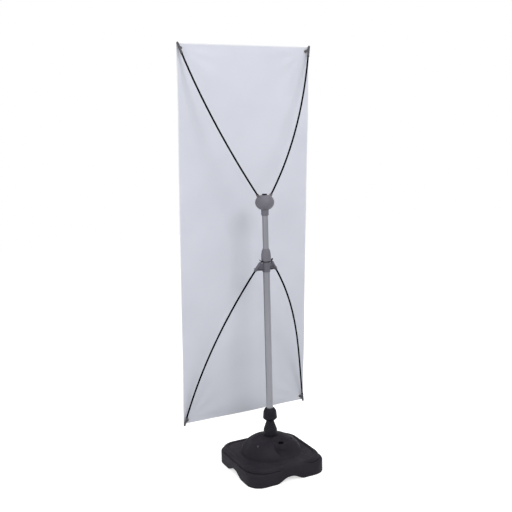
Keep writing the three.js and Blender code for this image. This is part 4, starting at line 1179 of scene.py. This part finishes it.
@dataclass
class Mast:
    """The two telescoping tubes and the collar that locks them."""

    lower_radius: float = 14.0
    lower_wall: float = 1.5
    upper_radius: float = 12.0
    upper_wall: float = 1.2
    thread_wall: float = 2.8
    collet: Collet = Collet(3.0, 1.4, 14.3)
    bell_radius: float = 20.2
    foot_radius: float = 19.5
    foot_height: float = 8.0
    straight_height: float = 12.0
    shoulder_radius: float = 17.0
    shoulder_drop: float = 9.5
    bore_edge: tuple[float, float] = (0.1, 0.2)
    bell_curve: Profile = ((0.2, 0.93), (0.4, 0.78), (0.55, 0.62), (0.78, 0.32))
    crown_curve: Profile = ((0.2, 0.12), (0.42, 0.33), (0.64, 0.6), (0.85, 0.86))
    soft: float = 1.2

    def collar(self) -> Shape:
        """The bell-shaped lock collar."""
        low, high = span("lock_collar")
        thread = self.lower_radius + self.thread_wall + 2 * CLEARANCE
        bore = self.upper_radius + 2 * CLEARANCE
        bell_top = low + self.foot_height + self.straight_height
        shoulder = high - self.shoulder_drop
        bell = [(mix(self.shoulder_radius, self.bell_radius, out), mix(bell_top, shoulder, rise))
                for rise, out in self.bell_curve]
        crown = [(mix(self.shoulder_radius, bore, out), mix(shoulder, high, rise))
                 for rise, out in self.crown_curve]
        chamber = self.collet.chamber(self.upper_radius + CLEARANCE, span("lower_tube")[1], thread)
        out, down = self.bore_edge
        return turned([
            (thread, low), (self.foot_radius, low), (self.bell_radius, low + self.foot_height),
            (self.bell_radius, bell_top), *bell, (self.shoulder_radius, shoulder), *crown,
            (bore + out, high), (bore, high - down), (bore, chamber[0][1]), *chamber,
        ], self.soft, loop=True)

    def build(self) -> None:
        """Builds the tubes and collar and dresses the pieces inside them."""
        for which, body, radius, wall in (("lower", "mast", self.lower_radius, self.lower_wall),
                                          ("upper", "upper_pole", self.upper_radius, self.upper_wall)):
            finished(tube(radius - wall, radius, *span(f"{which}_tube")), f"{which}_mast_tube", body,
                     TUBE, f"{which}_tube")
        finished(self.collar(), "bell_collar", "lock", GREY, "lock_collar", sharp=28.0)
        for node, finish in (("mast_spigot", TRIM), ("lock_thread", GREY), ("lock_collet", NYLON),
                             ("upper_tube_plug", TRIM)):
            dress(node, finish)


# Slider and hub


@dataclass
class Sockets:
    """Where the rods leave the hub and the bracket."""

    splay: float = 57.1
    upper_tilt: float = 2.1
    lower_tilt: float = 10.0
    hub_offset: float = 11.5
    bracket_offset: float = 25.0
    neck_below_centre: float = 54.5

    def ray(self, side: Side, end: End) -> tuple[Vector, Vector]:
        """The point that a rod's socket is measured from, and the way that the rod leaves."""
        upper = end is End.UPPER
        splay, tilt = radians(self.splay), radians(self.upper_tilt if upper else self.lower_tilt)
        offset = self.hub_offset if upper else self.bracket_offset
        height = self.hub_centre() if upper else span("slider_bracket")[1]
        line = Vector((side.value * cos(splay), 0.0, end.value * sin(splay))) * cos(tilt)
        return Vector((side.value * offset, 0.0, height)), line - BEHIND * sin(tilt)

    def hub_centre(self) -> float:
        """Height of the hub's middle."""
        return span("hub_rear_half")[0] + self.neck_below_centre


SOCKETS = Sockets()


@dataclass
class Slider:
    """The sliding bracket that holds the lower rods, and its spring clip."""

    tube_radius: float = 14.3
    sleeve_wall: float = 1.9
    sleeve_lift: float = 3.0
    socket_radius: float = 6.0
    socket_length: float = 45.0
    rod_depth: float = 34.0
    web_thickness: float = 3.4
    web_share: float = 0.8
    rib_lift: float = 3.2
    rib_lip: float = 1.2
    rib_recess: float = 4.8
    rib_shelf: float = 2.6
    rib_depth: float = 21.0
    rib_core: float = 2.4
    rib_taper: float = 0.85
    clip_thickness: float = 1.6
    ring_wall: float = 5.5
    ear_width: float = 14.0
    ear_reach: float = 30.5
    ear_bend: float = 21.0
    ear_rise: float = 9.0
    ear_nip: float = 2.0
    ear_tip: float = 2.2
    ear_sink: float = 0.05
    crop_reach: float = 200.0

    def web(self, side: Side, low: float) -> Shape:
        """The thin plate between the sleeve and a socket."""
        root, line = SOCKETS.ray(side, End.LOWER)
        high = mix(low, root.z, self.web_share)
        inner, half = side.value * (self.tube_radius - CLEARANCE), self.web_thickness / 2
        outer = [root + line * ((height - root.z) / line.z) for height in (low, high)]
        corners = [Vector((inner, 0, low)), *outer, Vector((inner, 0, high))]
        return hull(corner + BEHIND * way * half for corner in corners for way in (-1, 1))

    def plate(self, side: Side, end: Vector, depth: float, foot: float, height: float) -> Shape:
        """A level plate from the sleeve to a socket's end, narrower there."""
        inner, near = side.value * self.tube_radius, depth / 2
        far = near * self.rib_taper
        return slab([(inner, -near, foot), (end.x, end.y - far, foot), (end.x, end.y + far, foot),
                     (inner, near, foot)], height)

    def rib(self, side: Side, end: Vector, foot: float) -> Shape:
        """The lower edge of a wing: a shelf and a lip with a recess between them."""
        shelf = self.rib_lip + self.rib_recess
        return joined([self.plate(side, end, self.rib_depth, foot, self.rib_lip),
                       self.plate(side, end, self.rib_core, foot, shelf + self.rib_shelf / 2),
                       self.plate(side, end, self.rib_depth, foot + shelf, self.rib_shelf)])

    def bracket(self) -> Shape:
        """Sleeve, webs, ribs and sockets in one moulding."""
        low, high = span("slider_bracket")
        low += self.sleeve_lift
        parts = [bar(self.tube_radius + self.sleeve_wall, low, high, ROUND)]
        drills = [bar(self.tube_radius, low - OVERSHOOT, high + OVERSHOOT, ROUND)]
        for side in Side:
            root, line = SOCKETS.ray(side, End.LOWER)
            end = root + line * self.socket_length
            foot = end.z + self.rib_lift
            parts += [laid(bar(self.socket_radius, -OVERSHOOT, self.socket_length), root, line),
                      self.web(side, foot), self.rib(side, end, foot)]
            drills.append(laid(bar(ROD_BORE, self.socket_length - self.rod_depth - OVERSHOOT,
                                   self.socket_length + OVERSHOOT), root, line))
        reach = self.crop_reach
        crop = block((-reach, -reach, low), (reach, reach, high))
        return cut(combined(joined(parts), crop, Join.COMMON), *drills)

    def clip(self) -> Shape:
        """The pressed ring with two bent ears to squeeze."""
        low, thick = span("slider_clip")[0], self.clip_thickness
        parts = [bar(self.tube_radius + self.ring_wall, low, low + thick, ROUND)]
        half, reach, top, nip = self.ear_width / 2, self.ear_reach, self.ear_rise, self.ear_nip
        tip, bend, sunk = half - self.ear_tip, self.ear_bend - CLEARANCE, -self.ear_sink
        for side in Side:
            flat = [(side.value * x, y, low) for x, y in (
                (self.tube_radius, -half), (self.ear_bend, -half), (self.ear_bend, half),
                (self.tube_radius, half))]
            ear = [(side.value * x, y, low + z + lift) for x, y, z in (
                (bend, -half, sunk), (reach - nip, -half, top - nip), (reach, -tip, top),
                (reach, tip, top), (reach - nip, half, top - nip), (bend, half, sunk))
                for lift in (0.0, thick)]
            parts += [slab(flat, thick), hull(ear)]
        return cut(joined(parts), bar(self.tube_radius, low - OVERSHOOT, low + 2 * OVERSHOOT, ROUND))

    def build(self) -> None:
        """Builds the bracket and its clip."""
        finished(self.bracket(), "rod_bracket", "slider", BRACKET, "slider_bracket", edge=0.55)
        finished(self.clip(), "squeeze_clip", "slider", CLIP, "slider_clip", edge=0.3)


@dataclass
class Hub:
    """The two-part ball that holds the upper rods, with its cap, screws and ferrules."""

    radius: float = 38.9
    half_height: float = 33.0
    ball_steps: int = 30
    neck_radius: float = 15.4
    neck_chamfer: float = 3.0
    neck_edge: float = 0.8
    neck_rises: tuple[float, float] = (0.7, 2.2)
    crown: Profile = ((0.6, -0.5), (-0.2, -0.1), (-1.2, 0.0))
    tube_radius: float = 12.3
    ferrule_radius: float = 5.8
    ferrule_start: float = 25.0
    ferrule_end: float = 38.0
    ferrule_soft: float = 0.6
    rod_start: float = 8.0
    seam: float = 0.3
    spare: float = 10.0
    cap_radius: float = 10.0
    cap_height: float = 5.0
    cap_soft: float = 1.1
    stem_radius: float = 6.0
    stem_depth: float = 9.0
    screw_offset: float = 23.0
    screw_drop: float = 10.0
    screw_radius: float = 1.9
    screw_reach: float = 17.0
    head_radius: float = 3.6
    head_height: float = 2.6
    head_sink: float = 3.0
    head_soft: float = 0.9
    recess_share: float = 0.6
    recess_width: float = 0.45
    recess_depth: float = 1.4
    recess_play: float = 1.0

    def __post_init__(self) -> None:
        """Works out where the screws' heads sit, in front of the parting face."""
        across, rise = self.screw_offset / self.radius, -self.screw_drop / self.half_height
        self.head_depth = self.radius * sqrt(1 - across ** 2 - rise ** 2) - self.head_sink

    def ball(self) -> Shape:
        """The ball with its neck and flat top, before it is drilled and parted."""
        foot, top = span("hub_rear_half")
        centre, neck, chamfer = SOCKETS.hub_centre(), self.neck_radius, self.neck_chamfer
        meet = -self.half_height * sqrt(1 - (neck / self.radius) ** 2)
        low, high = (foot + chamfer * rise for rise in self.neck_rises)
        profile = [(0.0, foot), (neck - chamfer, foot), (neck - self.neck_edge, low), (neck, high),
                   (neck, centre + meet)]
        first, last = asin(meet / self.half_height), asin((top - centre) / self.half_height)
        for step in range(1, self.ball_steps + 1):
            turn = mix(first, last, step / self.ball_steps)
            profile.append((self.radius * cos(turn), centre + self.half_height * sin(turn)))
        edge = profile.pop()[0]
        return turned([*profile, *((edge + out, top + up) for out, up in self.crown), (0.0, top)])

    def screw_place(self, side: Side) -> Vector:
        """Where a screw crosses the parting face."""
        return Vector((side.value * self.screw_offset, 0.0, SOCKETS.hub_centre() - self.screw_drop))

    def drills(self) -> list[Shape]:
        """The bores for the tube and cap, the rods' stepped sockets and the screws' pockets."""
        foot, top = span("hub_rear_half")
        tube_top = span("upper_tube")[1]
        start, low = self.rod_start - CLEARANCE, self.ferrule_start - CLEARANCE
        high = self.ferrule_end + 2 * OVERSHOOT
        wide, out = self.ferrule_radius + CLEARANCE, -self.radius - OVERSHOOT
        head, thin = self.head_radius + CLEARANCE, self.screw_radius + CLEARANCE
        deep = self.screw_reach + CLEARANCE
        socket = stepped((start, low, high), (ROD_BORE, wide))
        pocket = stepped((out, -self.head_depth, deep), (head, thin))
        return [
            gathered([bar(self.tube_radius, foot - OVERSHOOT, tube_top + CLEARANCE, ROUND),
                      bar(self.stem_radius + CLEARANCE, top - self.stem_depth - CLEARANCE,
                          top + OVERSHOOT)]),
            gathered(laid(turned(socket, steps=SMALL), *SOCKETS.ray(side, End.UPPER)) for side in Side),
            gathered(laid(turned(pocket, steps=SMALL), self.screw_place(side), BEHIND) for side in Side),
        ]

    def half(self, facing: int) -> Shape:
        """One half of the ball: facing is 1 for the mast's side and -1 for the banner's."""
        foot, top = span("hub_rear_half")
        reach = self.radius + self.spare
        near, far = sorted((facing * self.seam / 2, facing * reach))
        keep = block((-reach, near, foot - OVERSHOOT), (reach, far, top + OVERSHOOT))
        return combined(cut(self.ball(), *self.drills()), keep, Join.COMMON)

    def cap(self) -> Shape:
        """The plug in the ball's flat top."""
        top = span("hub_rear_half")[1]
        heights = (top - self.stem_depth, top + CLEARANCE, top + CLEARANCE + self.cap_height)
        return turned(stepped(heights, (self.stem_radius, self.cap_radius)), self.cap_soft)

    def ferrule(self, side: Side) -> Shape:
        """The bright collar round a rod where it leaves the ball."""
        length = self.ferrule_end - self.ferrule_start
        ring = tube(ROD_BORE, self.ferrule_radius, 0.0, length, self.ferrule_soft, SMALL)
        root, line = SOCKETS.ray(side, End.UPPER)
        return laid(ring, root + line * self.ferrule_start, line)

    def screw(self, side: Side) -> Shape:
        """A pan-head screw with a cross recess."""
        head = -self.head_depth - CLEARANCE
        face = head - self.head_height
        body = turned(stepped((face, head, self.screw_reach), (self.head_radius, self.screw_radius)),
                      self.head_soft, SMALL)
        long, slim = self.head_radius * self.recess_share, self.recess_width
        bars = [block((-x, -y, face - self.recess_play), (x, y, face + self.recess_depth))
                for x, y in ((long, slim), (slim, long))]
        return laid(cut(body, *bars), self.screw_place(side), BEHIND)

    def build(self) -> None:
        """Builds the ball's halves, cap, screws and ferrules."""
        for facing, word in ((1, "rear"), (-1, "front")):
            finished(self.half(facing), f"ball_{word}", "upper_pole", GREY, f"hub_{word}_half", edge=0.5)
        finished(self.cap(), "top_plug", "upper_pole", TRIM, "hub_cap")
        for side in Side:
            word = side.label
            finished(self.ferrule(side), f"ferrule_{word}", "upper_pole", FERRULE, f"rod_ferrule_{word}")
            finished(self.screw(side), f"screw_{word}", "upper_pole", SILVER, f"hub_screw_{word}")


# Banner, with its hooks and rods


@dataclass(frozen=True)
class RodEnds:
    """A pair of rods: their body, and where the socket's straight and the hook's mouth lie."""

    body: str
    straight: tuple[float, float]
    mouth: tuple[float, float, float]
    tip_rise: float


RODS = {End.UPPER: RodEnds("upper_pole", (8.0, 38.0), (15.0, 20.0, 40.0), 1.0),
        End.LOWER: RodEnds("slider", (11.0, 45.0), (11.0, 12.5, 34.0), 3.0)}


@dataclass
class Banner:
    """The stretched sheet, its eyelets, and the bent rods and hooks that hold its corners."""

    width: float = 600.0
    height: float = 1600.0
    thickness: float = 0.6
    lean: float = 3.72
    floor_gap: float = 162.0
    setback: float = 239.335
    eyelet_inset: float = 18.0
    hole_radius: float = 5.0
    fold_depth: float = 3.0
    fold_count: int = 4
    fold_start: float = 45.0
    fold_reach: float = 240.0
    fold_end: float = 500.0
    crease_depth: float = 0.8
    crease_count: int = 13
    crease_start: float = 31.5
    crease_reach: float = 95.0
    crease_end: float = 330.0
    columns: int = 84
    rows: int = 224
    eyelet_outer: float = 8.0
    eyelet_inner: float = 3.7
    eyelet_barrel: float = 4.7
    eyelet_flange: float = 0.6
    eyelet_soft: float = 0.3
    hook_radius: float = 4.7
    mouth_radius: float = 5.3
    tip_inset: float = 2.7
    tip_behind: float = 5.4
    rod_depth: float = 22.0
    rod_radius: float = 3.65
    rod_parts: int = 48
    rim_width: float = 6.0
    rim_edge: float = 0.5
    rim_step: tuple[float, float] = (0.15, 0.4)
    beak_top: float = 7.2
    beak_half: float = 3.4
    beak_near: float = 9.0
    beak_far: float = 24.0
    beak_root: float = 6.0
    peg_radius: float = 3.1
    peg_reach: float = 5.5
    peg_soft: float = 1.2

    def __post_init__(self) -> None:
        """Works out the sheet's own frame: X across, Y behind it, Z up along it."""
        self.place = (Matrix.Translation((0.0, -self.setback, self.floor_gap))
                      @ Matrix.Rotation(-radians(self.lean), 4, "X"))

    def near_corner(self, side: Side, end: End, inset: float, behind: float, inward: float) -> Vector:
        """A point near a corner: an inset from the side, a way behind, and inward from the end."""
        edge = self.height if end is End.UPPER else 0.0
        return Vector((side.value * (self.width / 2 - inset), behind, edge - end.value * inward))

    def hook_axis(self, side: Side, end: End) -> tuple[Vector, Vector]:
        """Tip and mouth of a corner's hook."""
        return (self.near_corner(side, end, self.tip_inset, self.tip_behind, -RODS[end].tip_rise),
                self.near_corner(side, end, *RODS[end].mouth))

    def eyelet_place(self, side: Side, end: End) -> Vector:
        """Middle of a corner's eyelet."""
        return self.near_corner(side, end, self.eyelet_inset, 0.0, self.eyelet_inset)

    def fold_at(self, across: float, up: float) -> float:
        """Depth of the tension folds and the finer creases that fan out from the hooks."""
        depth = 0.0
        for side, end in CORNERS:
            corner = self.eyelet_place(side, end)
            inward, along = side.value * (corner.x - across), end.value * (corner.z - up)
            reach, turn = hypot(inward, along), atan2(inward, along)
            for height, start, full, last, count, shift in (
                    (self.fold_depth, self.fold_start, self.fold_reach, self.fold_end,
                     self.fold_count, 0),
                    (self.crease_depth, self.crease_start, self.crease_reach, self.crease_end,
                     self.crease_count, side.value)):
                swell = smoothstep(reach, start, full) * (1 - smoothstep(reach, full, last))
                depth += height * swell * cos(count * turn + shift)
        return depth

    def sheet(self) -> Shape:
        """The sheet with its folds, its map and its four eyelet holes."""
        shape = bmesh.new()
        bmesh.ops.create_grid(shape, x_segments=self.columns, y_segments=self.rows, size=0.5)
        chart = shape.loops.layers.uv.new("sheet")
        for loop in (loop for face in shape.faces for loop in face.loops):
            loop[chart].uv = (loop.vert.co.x + 0.5, loop.vert.co.y + 0.5)
        for vert in shape.verts:
            across, up = vert.co.x * self.width, (vert.co.y + 0.5) * self.height
            vert.co = (across, self.fold_at(across, up), up)
        bmesh.ops.recalc_face_normals(shape, faces=shape.faces)
        moved(shape, BEHIND * self.thickness / 2)
        if sum(face.normal.y for face in shape.faces) < 0:
            bmesh.ops.reverse_faces(shape, faces=shape.faces)
        bmesh.ops.solidify(shape, geom=list(shape.faces), thickness=self.thickness)
        reach = 2 * OVERSHOOT
        drills = [laid(bar(self.hole_radius, -reach, reach), self.eyelet_place(*corner), BEHIND)
                  for corner in CORNERS]
        return placed(cut(shape, gathered(drills)), self.place)

    def eyelet(self, side: Side, end: End) -> Shape:
        """A pressed eyelet with rolled flanges on both faces."""
        inner, outer, barrel = self.eyelet_inner, self.eyelet_outer, self.eyelet_barrel
        near = self.thickness / 2 + CLEARANCE
        far = near + self.eyelet_flange
        outline = [(inner, -far), (outer, -far), (outer, -near), (barrel, -near), (barrel, near),
                   (outer, near), (outer, far), (inner, far)]
        ring = turned(outline, self.eyelet_soft, SMALL, loop=True, parts=3)
        return placed(laid(ring, self.eyelet_place(side, end), BEHIND), self.place)

    def hook(self, side: Side, end: End) -> Shape:
        """The moulded cap on a rod's end, with the beak whose peg goes through the eyelet."""
        tip, mouth = self.hook_axis(side, end)
        line, length = (mouth - tip).normalized(), (mouth - tip).length
        rim, wide, top = length - self.rim_width, self.mouth_radius, self.beak_top - CLEARANCE
        nose = [(self.hook_radius * sin(turn), -self.hook_radius * cos(turn))
                for turn in (pi / 16 * step for step in range(9))]
        edge, (inward, down) = self.rim_edge, self.rim_step
        cap = turned([*nose, (self.hook_radius, rim - down), (wide - inward, rim), (wide, rim + edge),
                      (wide, length - edge), (wide - edge, length), (0, length)], steps=SMALL)
        eyelet = self.eyelet_place(side, end)
        foot = self.thickness / 2 + self.eyelet_flange + 2 * CLEARANCE
        root = [tip + line * run + BEHIND * way * self.beak_root / 2
                for run in (self.beak_near, self.beak_far) for way in (-1, 1)]
        face = [(eyelet.x - side.value * self.beak_half, depth, eyelet.z + way * self.beak_half)
                for depth in (foot, self.beak_top) for way in (-1, 1)]
        reach = self.peg_reach + top
        peg = turned(stepped((0, reach), (self.peg_radius,)), self.peg_soft, SMALL)
        drill = laid(bar(ROD_BORE, -self.rod_depth - CLEARANCE, OVERSHOOT), mouth, line)
        whole = joined([laid(cap, tip, line), hull([*root, *face]),
                        laid(peg, (eyelet.x, top, eyelet.z), -BEHIND)])
        return placed(cut(whole, drill), self.place)

    def rod(self, side: Side, end: End) -> Shape:
        """A springy rod, straight in its socket and hook and bent between them."""
        tip, mouth = (self.place @ point for point in self.hook_axis(side, end))
        root, line = SOCKETS.ray(side, end)
        first, leave = (root + line * run for run in RODS[end].straight)
        arrive = (tip - mouth).normalized()
        last = mouth + arrive * self.rod_depth
        handle, third, depth = (mouth - leave).length / 3, (leave - first) / 3, self.rod_depth / 3
        return bent_bar([
            (first, first - third, first + third),
            (leave, leave - third, leave + line * handle),
            (mouth, mouth - arrive * handle, mouth + arrive * depth),
            (last, last - arrive * depth, last + arrive),
        ], self.rod_radius, self.rod_parts)

    def build(self) -> None:
        """Builds the sheet, eyelets, hooks and rods."""
        rings, hooks = [], []
        for side, end in CORNERS:
            tail, body = f"{end.label}_{side.label}", RODS[end].body
            node = f"{end.label}_{{}}_{side.label}".format
            rings.append(finished(self.eyelet(side, end), f"ring_{tail}", "sheet", SILVER, node("eyelet")))
            finished(self.hook(side, end), f"corner_hook_{tail}", body, HOOK, node("hook"), edge=0.35)
            finished(self.rod(side, end), f"bent_rod_{tail}", body, ROD, node("rod"), sharp=50.0)
            hooks.append(node("hook"))
        sheet = finished(self.sheet(), "banner_sheet", "sheet", CLOTH, "banner", sharp=60.0)


# Studio


@dataclass
class Studio:
    """The pale floor, plain soft light and the camera at the photograph's viewing angle."""

    camera_place: Place = (1.3825, 2.6674, 1.4127)
    camera_right: Place = (-0.891, 0.45323, -0.02636)
    camera_up: Place = (-0.09411, -0.1276, 0.98735)
    lens: float = 52.4
    sensor: float = 36.0
    shift: tuple[float, float] = (-0.00227, -0.01377)
    farthest: float = 60.0
    floor_size: float = 14.0
    floor_shade: float = 0.82
    floor_glow: float = 0.62
    world_level: float = 0.55
    lamps: tuple[tuple[str, Place, float, float], ...] = (
        ("key", (2.7, 1.5, 2.6), 3.0, 28.0), ("fill", (-0.3, 2.9, 2.8), 1.6, 37.0),
        ("top", (-0.3, 0.6, 4.0), 2.6, 22.0), ("front", (0.8, -3.2, 2.4), 2.4, 34.0))
    aim: Place = (0.0, 0.0, 0.85)

    def white_rays(self, bench: Bench) -> NodeSocket:
        """1 for the rays that see the white background, 0 for the rays that light the stand."""
        path = bench.put("LightPath").outputs
        seen = bench.sums("MAXIMUM", path["Is Camera Ray"], path["Is Glossy Ray"])
        return bench.sums("MAXIMUM", seen, path["Is Transmission Ray"])

    def world(self) -> None:
        """A plain world, white to the camera and gentle as a light."""
        world = bpy.data.worlds.new("studio")
        world.use_nodes = True
        bpy.context.scene.world = world
        bench, background = Bench(world.node_tree), world.node_tree.nodes["Background"].inputs
        background["Color"].default_value = WHITE
        level = bench.blend(self.white_rays(bench), self.world_level, 1.0)
        bench.tree.links.new(level, background["Strength"])

    def floor(self) -> None:
        """The pale floor, which keeps the stand's shadow."""
        shape = bmesh.new()
        bmesh.ops.create_grid(shape, x_segments=2, y_segments=2, size=self.floor_size / 2)
        mesh = mesh_of(shape, "studio_floor")
        surface = bpy.data.materials.new("pale_floor")
        surface.use_nodes = True
        bench, shader = Bench(surface.node_tree), surface.node_tree.nodes["Principled BSDF"]
        for label, value in (("Base Color", (*[self.floor_shade] * 3, 1.0)), ("Roughness", 0.9),
                             ("Specular IOR Level", 0.1)):
            shader.inputs[label].default_value = value
        glow = bench.times(self.white_rays(bench), self.floor_glow)
        light = bench.put("Emission", {"Color": WHITE, "Strength": glow})
        both = bench.put("AddShader", {0: shader.outputs[0], 1: light.outputs[0]})
        bench.tree.links.new(both.outputs[0], bench.tree.nodes["Material Output"].inputs["Surface"])
        mesh.materials.append(surface)
        shown("studio_floor", mesh)

    def light(self) -> None:
        """The soft lamps."""
        for name, place, size, power in self.lamps:
            lamp = bpy.data.lights.new(name, "AREA")
            lamp.shape, lamp.size, lamp.energy = "DISK", size, power
            holder = shown(name, lamp)
            holder.location = place
            holder.rotation_mode = "QUATERNION"
            holder.rotation_quaternion = (Vector(self.aim) - Vector(place)).to_track_quat("-Z", "Y")

    def camera(self) -> None:
        """The camera, placed by the banner's corners and the mast in the photograph."""
        data = bpy.data.cameras.new("photo_camera")
        data.lens, data.sensor_width, data.clip_end = self.lens, self.sensor, self.farthest
        data.shift_x, data.shift_y = self.shift
        right = Vector(self.camera_right).normalized()
        back = right.cross(Vector(self.camera_up)).normalized()
        turn = Matrix((right, back.cross(right), back)).transposed().to_4x4()
        holder = shown("photo_camera", data)
        holder.matrix_world = Matrix.Translation(self.camera_place) @ turn
        bpy.context.scene.camera = holder

    def build(self) -> None:
        """Sets up camera, world, floor and lamps."""
        bpy.context.scene.view_settings.view_transform = "Standard"
        self.camera()
        self.world()
        self.floor()
        self.light()


def main() -> None:
    """Builds the studio, then the stand from the floor up."""
    logging.basicConfig(level=logging.INFO, format="%(name)s: %(message)s")
    for part in (Studio(), TankBase(), Neck(), Mast(), Slider(), Hub(), Banner()):
        part.build()


if __name__ == "__main__":
    main()
